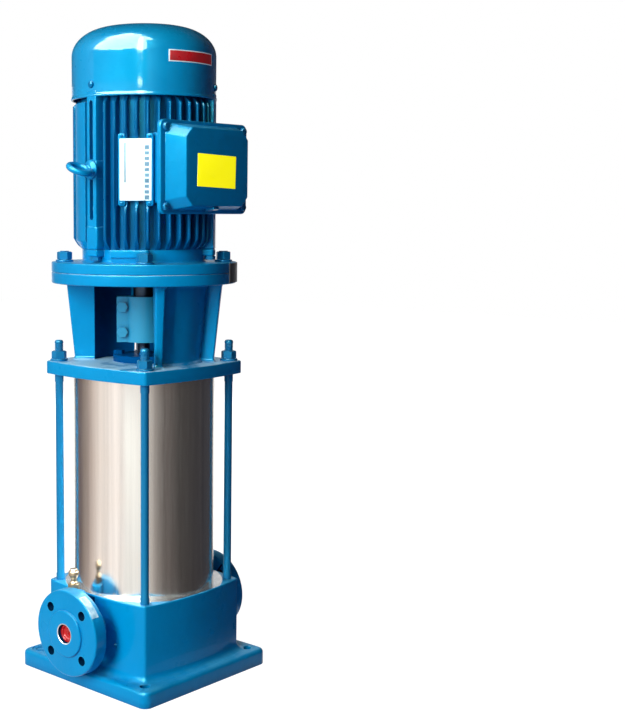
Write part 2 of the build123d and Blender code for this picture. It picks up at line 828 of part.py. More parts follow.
# Stages: a guide chamber and a closed impeller each
for stage in range(stage_count):
    stage_floor = stack_bottom + stage * stage_pitch
    guide_height = stage_pitch - diaphragm_level
    with BuildPart() as stage_chamber:
        with BuildSketch(Plane.XY.offset(stage_floor)):
            Circle(chamber_radius)
            Circle(eye_diameter / 2 + running_gap, mode=Mode.SUBTRACT)
        extrude(amount=chamber_floor)
        with BuildSketch(Plane.XY.offset(stage_floor)):
            Circle(chamber_radius)
            Circle(chamber_radius - chamber_wall, mode=Mode.SUBTRACT)
        extrude(amount=stage_pitch)
        with BuildSketch(Plane.XY.offset(stage_floor + diaphragm_level)):
            Circle(impeller_diameter / 2 + diaphragm_rim)
            Circle(hub_hole, mode=Mode.SUBTRACT)
        extrude(amount=chamber_floor)
        with BuildSketch(Plane.XY.offset(stage_floor + diaphragm_level)):
            vane_start = Vector(hub_hole + guide_vane_inset, 0)
            vane_end = Vector(chamber_radius - chamber_wall / 2, 0).rotate(Axis.Z, guide_vane_turn)
            with BuildLine() as vane_line:
                ThreePointArc(vane_start, blade_bow(vane_start, vane_end, guide_vane_bow), vane_end)
            with PolarLocations(0, guide_vane_count):
                SlotArc(vane_line.edge(), guide_vane_thickness)
            Circle(chamber_radius - chamber_wall / 2, mode=Mode.INTERSECT)
        extrude(amount=guide_height)
    stage_chamber.part.label = f"stage_chamber_{stage + 1}"
    export_step(stage_chamber.part, f"parts/stage_chamber_{stage + 1}.step")

    hub_bottom = stage_floor + impeller_bottom
    with BuildPart() as impeller:
        for shroud_level in (hub_bottom, hub_bottom + shroud_thickness + vane_height):
            with BuildSketch(Plane.XY.offset(shroud_level)):
                Circle(impeller_diameter / 2)
            extrude(amount=shroud_thickness)
        with BuildSketch(Plane.XY.offset(hub_bottom)):
            Circle(eye_diameter / 2 - eye_wall)
        extrude(amount=shroud_thickness, mode=Mode.SUBTRACT)
        with BuildSketch(Plane.XY.offset(hub_bottom + shroud_thickness)):
            blade_start = Vector(eye_diameter / 2 - eye_wall, 0)
            blade_end = Vector(impeller_diameter / 2 - impeller_rim, 0).rotate(Axis.Z, impeller_vane_turn)
            with BuildLine() as blade_line:
                ThreePointArc(blade_start, blade_bow(blade_start, blade_end, impeller_vane_bow), blade_end)
            with PolarLocations(0, impeller_vanes):
                SlotArc(blade_line.edge(), impeller_vane_thickness)
        extrude(amount=vane_height)
        with BuildSketch(Plane.XY.offset(hub_bottom + shroud_thickness)):
            Circle(eye_diameter / 2)
            Circle(eye_diameter / 2 - eye_wall, mode=Mode.SUBTRACT)
        extrude(amount=-shroud_thickness - impeller_gap - chamber_floor + running_gap)
        with BuildSketch(Plane.XY.offset(hub_bottom)):
            Circle(hub_radius)
        extrude(amount=stage_pitch)
        with BuildSketch(Plane.XY.offset(hub_bottom)):
            Circle(pump_journal + press_gap)
        extrude(amount=stage_pitch, mode=Mode.SUBTRACT)
    impeller.part.label = f"impeller_{stage + 1}"
    export_step(impeller.part, f"parts/impeller_{stage + 1}.step")

# Cover over the last stage, which the bracket plate presses down through its pillars
with BuildPart() as stage_cover:
    with BuildSketch(Plane.XY.offset(stack_top)):
        Circle(chamber_radius)
        Circle(hub_hole, mode=Mode.SUBTRACT)
        with PolarLocations(cover_slot_radius, cover_slots):
            SlotOverall(cover_slot_length, cover_slot_width, rotation=90, mode=Mode.SUBTRACT)
    extrude(amount=cover_thickness)
    with BuildSketch(Plane.XY.offset(stack_top)):
        with PolarLocations(cover_pillar_radius, cover_pillars, corner_turn):
            Circle(cover_pillar_diameter / 2)
    extrude(amount=plate_bottom - stack_top)
stage_cover.part.label = "stage_cover"
export_step(stage_cover.part, "parts/stage_cover.step")

# Pump shaft, with a collar under the first impeller
with BuildPart() as pump_shaft:
    with BuildSketch(Plane.XY.offset(bush_bottom - shaft_foot)):
        Circle(pump_journal)
    extrude(amount=pump_shaft_top - bush_bottom + shaft_foot)
    with BuildSketch(Plane.XY.offset(first_hub)):
        Circle(hub_radius)
    extrude(amount=-collar_height)
pump_shaft.part.label = "pump_shaft"
export_step(pump_shaft.part, "parts/pump_shaft.step")

# Clamp coupling in two halves, turned so that its ears lie across the view of the windows
coupling_middle = coupling_bottom + coupling_length / 2
coupling_x = Vector(1, 0, 0).rotate(Axis.Z, coupling_turn)
coupling_y = Vector(0, 1, 0).rotate(Axis.Z, coupling_turn)
coupling_base = Plane(origin=(0, 0, coupling_bottom), x_dir=coupling_x, z_dir=(0, 0, 1))
coupling_face = Plane(origin=(0, 0, coupling_middle), x_dir=coupling_x, z_dir=coupling_y)
for half_name, half_side in (("front", -1), ("rear", 1)):
    with BuildPart() as coupling_half:
        with BuildSketch(coupling_base):
            Circle(coupling_diameter / 2)
            Rectangle(2 * coupling_ear_reach, coupling_ear_thickness)
            with Locations((0, half_side * (coupling_diameter + coupling_split) / 2)):
                Rectangle(2 * coupling_ear_reach, coupling_diameter, mode=Mode.INTERSECT)
        extrude(amount=coupling_length)
        with BuildSketch(coupling_base):
            Circle(pump_journal + press_gap)
        extrude(amount=coupling_low_grip, mode=Mode.SUBTRACT)
        with BuildSketch(coupling_base.offset(coupling_low_grip)):
            Circle(motor_journal + press_gap)
        extrude(amount=coupling_length - coupling_low_grip, mode=Mode.SUBTRACT)
        with BuildSketch(coupling_face):
            with GridLocations(2 * coupling_bolt_offset, coupling_bolt_pitch, 2, 2):
                Circle(small_screw / 2 + seat_gap)
        extrude(amount=half_side * coupling_ear_thickness, mode=Mode.SUBTRACT)
    coupling_half.part.label = f"coupling_{half_name}"
    export_step(coupling_half.part, f"parts/coupling_{half_name}.step")

ear_face = coupling_face.offset(-coupling_ear_thickness / 2)
with BuildPart() as coupling_bolts:
    with BuildSketch(ear_face):
        with GridLocations(2 * coupling_bolt_offset, coupling_bolt_pitch, 2, 2):
            RegularPolygon(small_head / 2, 6, major_radius=False)
    extrude(amount=-small_head_height)
    with BuildSketch(ear_face):
        with GridLocations(2 * coupling_bolt_offset, coupling_bolt_pitch, 2, 2):
            Circle(small_screw / 2)
    extrude(amount=coupling_ear_thickness + small_nut_height + coupling_bolt_end)
coupling_bolts.part.label = "coupling_bolts"
export_step(coupling_bolts.part, "parts/coupling_bolts.step")

with BuildPart() as coupling_nuts:
    with BuildSketch(ear_face.offset(coupling_ear_thickness)):
        with GridLocations(2 * coupling_bolt_offset, coupling_bolt_pitch, 2, 2):
            RegularPolygon(small_head / 2, 6, major_radius=False)
            Circle(small_screw / 2 + press_gap, mode=Mode.SUBTRACT)
    extrude(amount=small_nut_height)
coupling_nuts.part.label = "coupling_nuts"
export_step(coupling_nuts.part, "parts/coupling_nuts.step")

# Studs in the tapped holes of the bracket ring that take the motor flange's nuts
flange_stud_top = shield_top + washer_thickness + nut_height + flange_stud_end
with BuildPart() as flange_studs:
    with BuildSketch(Plane.XY.offset(ring_bottom)):
        with Locations(*flange_corners):
            Circle(rod_thread / 2)
    extrude(amount=flange_stud_top - ring_bottom)
flange_studs.part.label = "flange_studs"
export_step(flange_studs.part, "parts/flange_studs.step")

# Drive endshield: motor flange, spigot, bearing hub, neck and bolt lugs
low_bearing = shield_top + bearing_level
lug_middle = (rail_reach + barrel_bore) / 2
with BuildPart() as drive_endshield:
    with BuildSketch(Plane.XY.offset(ring_top)):
        Circle(bracket_ring / 2)
    extrude(amount=shield_thickness)
    chamfer(drive_endshield.edges().filter_by(GeomType.CIRCLE), shield_edge)
    with BuildSketch(Plane.XY.offset(ring_top)):
        Circle(spigot_diameter / 2)
    extrude(amount=-spigot_height)
    with BuildSketch(Plane.XY.offset(shield_top)):
        Circle(shield_neck / 2)
        with Locations(*around(lug_middle, rail_angles)):
            Rectangle(rail_reach - barrel_bore, shield_lug_width)
    extrude(amount=shield_neck_height)
    with BuildSketch(Plane.XY.offset(shield_top)):
        with Locations(*around(endshield_bolt_radius, rail_angles)):
            Rectangle(2 * (rail_reach - endshield_bolt_radius + shield_lug_gap),
                      shield_lug_width + 2 * shield_lug_gap)
        Circle(shield_neck / 2, mode=Mode.SUBTRACT)
    extrude(amount=shield_neck_height - shield_lug_height, mode=Mode.SUBTRACT)
    with BuildSketch(Plane.XY.offset(ring_top + shield_web)):
        Circle(shield_neck / 2 - shield_neck_wall)
        Circle(bearing_pocket + hub_wall, mode=Mode.SUBTRACT)
    extrude(amount=frame_bottom - ring_top - shield_web, mode=Mode.SUBTRACT)
    with BuildSketch(Plane.XY.offset(low_bearing)):
        Circle(bearing_pocket + hub_wall)
    extrude(amount=frame_bottom - low_bearing, mode=Mode.SUBTRACT)
    with BuildSketch(Plane.XY.offset(low_bearing)):
        Circle(bearing_pocket + hub_wall)
        Circle(bearing_pocket + press_gap, mode=Mode.SUBTRACT)
    extrude(amount=bearing_width)
    with BuildSketch(Plane.XY.offset(ring_top - spigot_height)):
        Circle(bearing_bore / 2 + bearing_land)
    extrude(amount=low_bearing - ring_top + spigot_height, mode=Mode.SUBTRACT)
    with BuildSketch(Plane.XY.offset(shield_top)):
        add(ring_sector(shield_neck / 2 - shield_neck_wall / 2, shield_block_reach - shield_block_step,
                        shield_block_start, shield_block_end))
        with Locations(*around(shield_block_reach - shield_boss / 2, (shield_block_end,))):
            Circle(shield_boss / 2)
            with Locations((-shield_boss / 2, 0)):
                Rectangle(shield_boss, shield_boss)
    extrude(amount=shield_neck_height)
    with BuildSketch(Plane.XY.offset(shield_top + shield_block_foot)):
        add(ring_sector(shield_neck / 2 - shield_neck_wall / 2, shield_block_reach,
                        shield_block_start, shield_block_end))
    extrude(amount=shield_neck_height - shield_block_foot)
    with BuildSketch(Plane.XY.offset(ring_top)):
        with Locations(*flange_corners):
            Circle(rod_hole / 2)
    extrude(amount=shield_thickness, mode=Mode.SUBTRACT)
    with BuildSketch(Plane.XY.offset(frame_bottom)):
        with Locations(*around(endshield_bolt_radius, rail_angles)):
            Circle(small_screw / 2 + seat_gap)
    extrude(amount=-shield_lug_height, mode=Mode.SUBTRACT)
drive_endshield.part.label = "drive_endshield"
export_step(drive_endshield.part, "parts/drive_endshield.step")

with BuildPart() as endshield_bolts:
    with BuildSketch(Plane.XY.offset(frame_bottom - shield_lug_height)):
        with Locations(*around(endshield_bolt_radius, rail_angles)):
            RegularPolygon(small_head / 2, 6, major_radius=False, rotation=30)
    extrude(amount=-small_head_height)
    with BuildSketch(Plane.XY.offset(frame_bottom - shield_lug_height)):
        with Locations(*around(endshield_bolt_radius, rail_angles)):
            Circle(small_screw / 2)
    extrude(amount=shield_lug_height + endshield_bolt_depth)
endshield_bolts.part.label = "endshield_bolts"
export_step(endshield_bolts.part, "parts/endshield_bolts.step")


# Stator frame: finned barrel with bolt rails, a smooth panel and pads for box and plate
def turn_between(first, second):
    # The smaller angle between two directions
    return abs((first - second + 180) % 360 - 180)


def fin_wanted(angle):
    in_panel = panel_start - panel_clear_angle < angle % 360 < panel_end + panel_clear_angle
    near_rail = any(turn_between(angle, rail) < rail_clear_angle for rail in rail_angles)
    return not in_panel and not near_rail


fin_angles = [angle for angle in (fin_first_angle + 360 / fin_count * n for n in range(fin_count))
              if fin_wanted(angle)]
groove_low = frame_bottom + rail_groove_start
groove_high = frame_top - rail_groove_end
box_seat = upright_plane(270, barrel_bore + barrel_wall / 2, box_level)
name_seat = upright_plane(name_pad_angle, barrel_bore + barrel_wall / 2, name_pad_level)
with BuildSketch() as name_pad:
    Rectangle(name_pad_width, name_plate_height)
    with GridLocations(name_pad_width - name_ear_width, 0, 2, 1):
        Rectangle(name_ear_width, name_pad_height)

with BuildPart() as fin_foot_cut:
    with BuildSketch(Plane.XZ):
        with BuildLine():
            Polyline(
                (barrel_radius, frame_bottom),
                (fin_tip / 2, frame_bottom + fin_foot_rise),
                (rail_reach, frame_bottom + fin_foot_rise),
                (rail_reach, frame_bottom),
                close=True,
            )
        make_face()
    revolve(axis=Axis.Z)
    with BuildSketch(Plane.XY.offset(frame_bottom)):
        with Locations(*around(lug_middle, rail_angles)):
            Rectangle(rail_reach - barrel_bore, rail_width)
    extrude(amount=fin_foot_rise, mode=Mode.SUBTRACT)

with BuildPart() as stator_frame:
    with BuildSketch(Plane.XY.offset(frame_bottom)):
        Circle(barrel_radius)
        with Locations(*around((barrel_bore + fin_tip / 2) / 2, fin_angles)):
            Rectangle(fin_tip / 2 - barrel_bore, fin_thickness)
        with Locations(*around(lug_middle, rail_angles)):
            Rectangle(rail_reach - barrel_bore, rail_width)
        add(ring_sector(barrel_bore + barrel_wall / 2, panel_reach, panel_start, panel_end))
        Circle(barrel_bore, mode=Mode.SUBTRACT)
    extrude(amount=frame_length)
    add(fin_foot_cut.part, mode=Mode.SUBTRACT)
    with BuildSketch(box_seat):
        Rectangle(box_seat_width + 2 * fin_thickness, box_seat_height + 2 * fin_thickness)
    extrude(amount=barrel_radius, mode=Mode.SUBTRACT)
    with BuildSketch(box_seat):
        Rectangle(box_seat_width, box_seat_height)
    extrude(amount=box_seat_reach - barrel_bore - barrel_wall / 2)
    with BuildSketch(name_seat):
        add(name_pad.sketch)
    extrude(amount=fin_tip / 2, mode=Mode.SUBTRACT)
    with BuildSketch(name_seat):
        add(name_pad.sketch)
    extrude(amount=name_pad_reach - barrel_bore - barrel_wall / 2)
    with BuildSketch(Plane.XY.offset(frame_bottom)):
        Circle(barrel_bore)
    extrude(amount=frame_length, mode=Mode.SUBTRACT)
    with BuildSketch(Plane.XY.offset(frame_bottom)):
        with Locations(*around(endshield_bolt_radius, rail_angles)):
            Circle(small_screw / 2 + seat_gap)
    extrude(amount=endshield_bolt_depth, mode=Mode.SUBTRACT)
    for rail in rail_angles:
        with BuildSketch(upright_plane(rail, rail_reach, (groove_low + groove_high) / 2)):
            SlotOverall(groove_high - groove_low, rail_groove_width, rotation=90)
        extrude(amount=-rail_groove_depth, mode=Mode.SUBTRACT)
    with BuildSketch(upright_plane(eye_angle, rail_reach, eye_level)):
        Rectangle(rail_width, eye_collar)
    extrude(amount=barrel_radius - rail_reach)
    with BuildSketch(upright_plane(eye_angle, rail_reach, eye_level)):
        Circle(eye_thread / 2 + seat_gap)
    extrude(amount=-eye_thread_depth, mode=Mode.SUBTRACT)
    with BuildSketch(Plane.XY.offset(cowl_bottom - running_gap)):
        Circle(rail_reach + rail_width)
        Circle(cowl_diameter / 2 - cowl_wall - seat_gap, mode=Mode.SUBTRACT)
    extrude(amount=cowl_overlap + running_gap, mode=Mode.SUBTRACT)
stator_frame.part.label = "stator_frame"
export_step(stator_frame.part, "parts/stator_frame.step")

# Stator core, its coil ends, and the rotor core inside
stator_bottom = frame_bottom + stator_level
with BuildPart() as stator_core:
    with BuildSketch(Plane.XY.offset(stator_bottom)):
        Circle(barrel_bore - press_gap)
        Circle(stator_bore / 2, mode=Mode.SUBTRACT)
    extrude(amount=stator_length)
stator_core.part.label = "stator_core"
export_step(stator_core.part, "parts/stator_core.step")

with BuildPart() as stator_windings:
    for coil_bottom in (stator_bottom - coil_height, stator_bottom + stator_length):
        with BuildSketch(Plane.XY.offset(coil_bottom)):
            Circle(barrel_bore - coil_gap)
            Circle(stator_bore / 2 + coil_gap, mode=Mode.SUBTRACT)
        extrude(amount=coil_height)
stator_windings.part.label = "stator_windings"
export_step(stator_windings.part, "parts/stator_windings.step")

with BuildPart() as rotor_core:
    with BuildSketch(Plane.XY.offset(stator_bottom)):
        Circle(stator_bore / 2 - air_gap)
        Circle(rotor_shaft_diameter / 2 + press_gap, mode=Mode.SUBTRACT)
    extrude(amount=stator_length)
rotor_core.part.label = "rotor_core"
export_step(rotor_core.part, "parts/rotor_core.step")

# Ball bearings: outer rings in the endshields, inner rings on the shaft
high_bearing = frame_top
race_middle = (bearing_bore / 2 + bearing_pocket) / 2
with BuildPart() as bearing_outer_rings:
    for bearing_bottom in (low_bearing, high_bearing):
        with BuildSketch(Plane.XY.offset(bearing_bottom)):
            Circle(bearing_pocket)
            Circle(race_middle + running_gap / 2, mode=Mode.SUBTRACT)
        extrude(amount=bearing_width)
bearing_outer_rings.part.label = "bearing_outer_rings"
export_step(bearing_outer_rings.part, "parts/bearing_outer_rings.step")

with BuildPart() as bearing_inner_rings:
    for bearing_bottom in (low_bearing, high_bearing):
        with BuildSketch(Plane.XY.offset(bearing_bottom)):
            Circle(race_middle - running_gap / 2)
            Circle(bearing_bore / 2 + press_gap, mode=Mode.SUBTRACT)
        extrude(amount=bearing_width)
bearing_inner_rings.part.label = "bearing_inner_rings"
export_step(bearing_inner_rings.part, "parts/bearing_inner_rings.step")

# Motor shaft, stepped from the coupling end up to the fan
fan_bottom = high_bearing + bearing_width + fan_lift
motor_shaft_top = fan_bottom + fan_hub_height + fan_shaft_end
shaft_steps = (
    (motor_shaft_end, low_bearing, motor_shaft_diameter),
    (low_bearing, low_bearing + bearing_width, bearing_bore),
    (low_bearing + bearing_width, high_bearing, rotor_shaft_diameter),
    (high_bearing, high_bearing + bearing_width, bearing_bore),
    (high_bearing + bearing_width, motor_shaft_top, fan_shaft_diameter),
)
with BuildPart() as motor_shaft:
    for step_bottom, step_top, step_diameter in shaft_steps:
        with BuildSketch(Plane.XY.offset(step_bottom)):
            Circle(step_diameter / 2)
        extrude(amount=step_top - step_bottom)
motor_shaft.part.label = "motor_shaft"
export_step(motor_shaft.part, "parts/motor_shaft.step")

# Rear endshield with lugs that the cowl is screwed to
cowl_screw_level = cowl_bottom + cowl_screw_rise
cowl_inner = cowl_diameter / 2 - cowl_wall
rear_lug_reach = sqrt((cowl_inner - seat_gap) ** 2 - (rail_width / 2) ** 2)
with BuildPart() as rear_endshield:
    with BuildSketch(Plane.XY.offset(frame_top)):
        Circle(rear_radius)
        with Locations(*around((rear_radius - casting_wall + rear_lug_reach) / 2, rail_angles)):
            Rectangle(rear_lug_reach - rear_radius + casting_wall, rail_width)
        Circle(bearing_pocket + press_gap, mode=Mode.SUBTRACT)
    extrude(amount=rear_rim_height)
    with BuildSketch(Plane.XY.offset(frame_top + rear_thickness)):
        Circle(rear_radius - casting_wall)
        Circle(bearing_pocket + hub_wall, mode=Mode.SUBTRACT)
    extrude(amount=rear_rim_height - rear_thickness, mode=Mode.SUBTRACT)
    for rail in rail_angles:
        with BuildSketch(upright_plane(rail, rear_lug_reach, cowl_screw_level)):
            Circle(cowl_screw / 2 + seat_gap)
        extrude(amount=-cowl_screw_depth - seat_gap, mode=Mode.SUBTRACT)
rear_endshield.part.label = "rear_endshield"
export_step(rear_endshield.part, "parts/rear_endshield.step")

with BuildPart() as fan:
    with BuildSketch(Plane.XY.offset(fan_bottom)):
        Circle(fan_hub_diameter / 2)
    extrude(amount=fan_hub_height)
    with BuildSketch(Plane.XY.offset(fan_bottom)):
        Circle(fan_diameter / 2)
    extrude(amount=fan_disc)
    with BuildSketch(Plane.XY.offset(fan_bottom)):
        with PolarLocations((fan_hub_diameter + fan_diameter) / 4, fan_blades):
            Rectangle((fan_diameter - fan_hub_diameter) / 2 + fan_disc, fan_blade_thickness)
        Circle(fan_diameter / 2, mode=Mode.INTERSECT)
    extrude(amount=fan_blade_height)
    with BuildSketch(Plane.XY.offset(fan_bottom)):
        Circle(fan_shaft_diameter / 2 + press_gap)
    extrude(amount=fan_hub_height, mode=Mode.SUBTRACT)
fan.part.label = "fan"
export_step(fan.part, "parts/fan.step")


# Fan cowl: drawn sheet with a rounded shoulder and an air grille in the crown
def cowl_profile(radius, bottom, shoulder_width, shoulder_height):
    # Half of the cowl's outline, from its lip to the middle of the crown
    with BuildSketch(Plane.XY, mode=Mode.PRIVATE) as profile:
        with BuildLine():
            side = Line((radius, bottom), (radius, cowl_shoulder_level))
            shoulder = EllipticalCenterArc((radius - shoulder_width, cowl_shoulder_level),
                                           shoulder_width, shoulder_height,
                                           start_angle=0, arc_size=cowl_shoulder_turn)
            crown = Line(shoulder @ 1, (0, cowl_shoulder_level + shoulder_height))
            Polyline(crown @ 1, (0, bottom), side @ 0)
        make_face()
    return profile.sketch


with BuildPart() as fan_cowl:
    with BuildSketch(Plane.XZ):
        add(cowl_profile(cowl_diameter / 2, cowl_bottom, cowl_shoulder_width, cowl_shoulder))
    revolve(axis=Axis.Z)
    with BuildSketch(Plane.XZ):
        add(cowl_profile(cowl_diameter / 2 - cowl_wall, cowl_bottom, cowl_shoulder_width - cowl_wall,
                         cowl_shoulder - cowl_wall))
    revolve(axis=Axis.Z, mode=Mode.SUBTRACT)
    with BuildSketch(Plane.XY.offset(cowl_top)):
        with PolarLocations(cowl_slot_radius, cowl_slots):
            SlotOverall(cowl_slot_length, cowl_slot_width)
    extrude(amount=-2 * cowl_wall, mode=Mode.SUBTRACT)
    for rail in rail_angles:
        with BuildSketch(upright_plane(rail, cowl_diameter / 2, cowl_screw_level)):
            Circle(cowl_screw / 2 + seat_gap)
        extrude(amount=-2 * cowl_wall, mode=Mode.SUBTRACT)
fan_cowl.part.label = "fan_cowl"
export_step(fan_cowl.part, "parts/fan_cowl.step")

with BuildPart() as cowl_screws:
    for rail in rail_angles:
        screw_seat = upright_plane(rail, cowl_diameter / 2, cowl_screw_level)
        with BuildSketch(screw_seat):
            RegularPolygon(cowl_screw_head / 2, 6)
        extrude(amount=cowl_screw_head_height)
        with BuildSketch(screw_seat):
            Circle(cowl_screw / 2)
        extrude(amount=-cowl_screw_depth)
cowl_screws.part.label = "cowl_screws"
export_step(cowl_screws.part, "parts/cowl_screws.step")

with BuildPart() as name_plate:
    with BuildSketch(upright_plane(name_pad_angle, name_pad_reach, name_pad_level)):
        Rectangle(name_plate_width, name_plate_height)
    extrude(amount=name_plate_thickness)
name_plate.part.label = "name_plate"
export_step(name_plate.part, "parts/name_plate.step")

# Terminal box: open tray on the frame's seat, gasket, lid and what they hold
box_mouth_reach = box_seat_reach + box_depth
lid_reach = box_mouth_reach + gasket_thickness
lid_root_reach = lid_reach + lid_rim_thickness
lid_rim_width = box_mouth_width + 2 * lid_overhang
lid_rim_height = box_mouth_height + 2 * lid_overhang
lid_root_width = lid_rim_width - 2 * lid_step_x
lid_root_height = lid_rim_height - 2 * lid_step_z
lid_face_width = lid_root_width - 2 * lid_taper_x
lid_face_height = lid_root_height - 2 * lid_taper_z
lid_screw_places = GridLocations(box_mouth_width - 2 * lid_screw_inset,
                                 box_mouth_height - 2 * lid_screw_inset, 2, 2)
with BuildPart() as terminal_box:
    for inset, operation in ((0, Mode.ADD), (2 * box_wall, Mode.SUBTRACT)):
        with BuildSketch(upright_plane(270, box_seat_reach + inset / 2, box_level)):
            Rectangle(box_seat_width - inset, box_seat_height - inset)
        with BuildSketch(upright_plane(270, box_mouth_reach, box_level)):
            Rectangle(box_mouth_width - inset, box_mouth_height - inset)
        loft(mode=operation)
    with BuildSketch(upright_plane(270, box_mouth_reach, box_level)):
        with lid_screw_places:
            Circle(lid_screw_boss / 2)
        Rectangle(box_mouth_width, box_mouth_height, mode=Mode.INTERSECT)
    extrude(amount=lid_rim_thickness + gasket_thickness - lid_screw_depth - screw_end_gap)
    with BuildSketch(upright_plane(270, box_mouth_reach, box_level)):
        with lid_screw_places:
            Circle(lid_screw / 2 + seat_gap)
        Rectangle(box_window_width, box_window_height)
    extrude(amount=-box_depth, mode=Mode.SUBTRACT)
terminal_box.part.label = "terminal_box"
export_step(terminal_box.part, "parts/terminal_box.step")

with BuildPart() as box_gasket:
    with BuildSketch(upright_plane(270, box_mouth_reach, box_level)):
        Rectangle(box_mouth_width, box_mouth_height)
        Rectangle(box_mouth_width - 2 * gasket_width, box_mouth_height - 2 * gasket_width,
                  mode=Mode.SUBTRACT)
        with lid_screw_places:
            Circle(lid_screw_boss / 2)
        Rectangle(box_mouth_width, box_mouth_height, mode=Mode.INTERSECT)
        with lid_screw_places:
            Circle(lid_screw / 2 + seat_gap, mode=Mode.SUBTRACT)
    extrude(amount=gasket_thickness)
box_gasket.part.label = "box_gasket"
export_step(box_gasket.part, "parts/box_gasket.step")

lid_slope = atan2(lid_taper_z, lid_depth)
entry_level = box_level - (lid_root_height - lid_taper_z) / 2
entry_plane = Plane(
    origin=(0, -lid_root_reach - lid_depth / 2, entry_level),
    x_dir=(1, 0, 0),
    z_dir=(0, -sin(lid_slope), -cos(lid_slope)),
)
with BuildPart() as terminal_lid:
    with BuildSketch(upright_plane(270, lid_reach, box_level)):
        RectangleRounded(lid_rim_width, lid_rim_height, lid_rim_corner)
    extrude(amount=lid_rim_thickness)
    chamfer(terminal_lid.edges().group_by(Axis.Y)[0], lid_edge)
    for inset, operation in ((0, Mode.ADD), (2 * lid_wall, Mode.SUBTRACT)):
        with BuildSketch(upright_plane(270, lid_root_reach, box_level)) as lid_root:
            Rectangle(lid_root_width - inset, lid_root_height - inset)
            chamfer(lid_root.vertices(), lid_corner_cut - inset / 4)
        face_reach = lid_reach + lid_rim_thickness + lid_depth - inset / 2
        with BuildSketch(upright_plane(270, face_reach, box_level)) as lid_face:
            Rectangle(lid_face_width - inset, lid_face_height - inset)
            chamfer(lid_face.vertices(), lid_corner_cut - inset / 4)
        loft(mode=operation)
    with BuildSketch(upright_plane(270, lid_reach, box_level)) as lid_mouth:
        Rectangle(lid_root_width - 2 * lid_wall, lid_root_height - 2 * lid_wall)
        chamfer(lid_mouth.vertices(), lid_corner_cut - lid_wall / 2)
    extrude(amount=lid_rim_thickness, mode=Mode.SUBTRACT)
    with BuildSketch(upright_plane(270, lid_reach, box_level)):
        with lid_screw_places:
            Circle(lid_screw / 2 + seat_gap)
    extrude(amount=lid_rim_thickness, mode=Mode.SUBTRACT)
    with BuildSketch(entry_plane):
        Circle(entry_thread / 2 + seat_gap)
    extrude(amount=-2 * lid_wall, mode=Mode.SUBTRACT)
terminal_lid.part.label = "terminal_lid"
export_step(terminal_lid.part, "parts/terminal_lid.step")

# Plug in the cable entry on the lid's underside
with BuildPart() as entry_plug:
    with BuildSketch(entry_plane):
        RegularPolygon(entry_head / 2, 6, major_radius=False)
    extrude(amount=entry_head_height)
    with BuildSketch(entry_plane):
        Circle(entry_thread / 2)
    extrude(amount=-lid_wall)
entry_plug.part.label = "entry_plug"
export_step(entry_plug.part, "parts/entry_plug.step")

with BuildPart() as lid_screws:
    with BuildSketch(upright_plane(270, lid_root_reach, box_level)):
        with lid_screw_places:
            Circle(lid_screw_head / 2)
    extrude(amount=lid_screw_head_height)
    with BuildSketch(upright_plane(270, lid_root_reach, box_level)):
        with lid_screw_places:
            Circle(lid_screw / 2)
    extrude(amount=-lid_screw_depth)
lid_screws.part.label = "lid_screws"
export_step(lid_screws.part, "parts/lid_screws.step")

with BuildPart() as terminal_board:
    with BuildSketch(upright_plane(270, box_seat_reach, box_level)):
        Rectangle(board_width, board_height)
    extrude(amount=board_thickness)
    with BuildSketch(upright_plane(270, box_seat_reach + board_thickness, box_level)):
        with GridLocations(stud_pitch, stud_pitch, 3, 2):
            Circle(stud_diameter / 2)
    extrude(amount=stud_height)
terminal_board.part.label = "terminal_board"
export_step(terminal_board.part, "parts/terminal_board.step")

# Lifting eye, screwed into the rail at -X
eye_ring_radius = (eye_ring_outer - eye_ring_section) / 2
eye_centre = rail_reach + eye_collar_height + eye_ring_outer / 2 - eye_ring_sink
with BuildPart() as lifting_eye:
    with Locations(Location((-eye_centre, 0, eye_level), (eye_tilt, 0, 0))):
        Torus(eye_ring_radius, eye_ring_section / 2)
    with BuildSketch(upright_plane(eye_angle, rail_reach, eye_level)):
        Circle(eye_collar / 2)
    extrude(amount=eye_collar_height)
    with BuildSketch(upright_plane(eye_angle, rail_reach, eye_level)):
        Circle(eye_thread / 2)
    extrude(amount=-eye_thread_depth)
lifting_eye.part.label = "lifting_eye"
export_step(lifting_eye.part, "parts/lifting_eye.step")
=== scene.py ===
# Looks of a vertical multistage water pump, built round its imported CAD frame.
# Sizes in the dictionaries are millimetres and degrees. +Z is up and the inlet faces -X.
import math
import bmesh
import bpy
from mathutils import Matrix, Vector


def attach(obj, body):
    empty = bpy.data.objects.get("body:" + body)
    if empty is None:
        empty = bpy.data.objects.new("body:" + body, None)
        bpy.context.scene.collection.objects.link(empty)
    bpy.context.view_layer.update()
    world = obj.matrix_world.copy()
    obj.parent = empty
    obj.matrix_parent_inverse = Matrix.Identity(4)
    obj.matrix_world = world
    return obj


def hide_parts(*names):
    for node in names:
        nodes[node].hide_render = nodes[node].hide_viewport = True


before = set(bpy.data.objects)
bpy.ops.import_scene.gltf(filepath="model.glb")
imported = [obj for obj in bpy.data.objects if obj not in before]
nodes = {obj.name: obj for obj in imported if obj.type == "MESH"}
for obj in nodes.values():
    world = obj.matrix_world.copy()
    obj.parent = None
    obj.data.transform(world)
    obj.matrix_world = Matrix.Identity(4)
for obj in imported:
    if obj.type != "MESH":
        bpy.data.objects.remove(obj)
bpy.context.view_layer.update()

millimetre = 0.001

levels = {
    "baseTop": 122.3, "plateBottom": 411.0, "plateTop": 428.6, "ringBottom": 535.4, "ringTop": 550.1,
    "shieldTop": 563.5, "frameBottom": 581.0, "frameTop": 784.0, "cowlBottom": 776.4,
}
railAngles = (180, 300, 60)
cameraSide = 225  # heading of the camera, from which cards, lamps and the labels' angles count


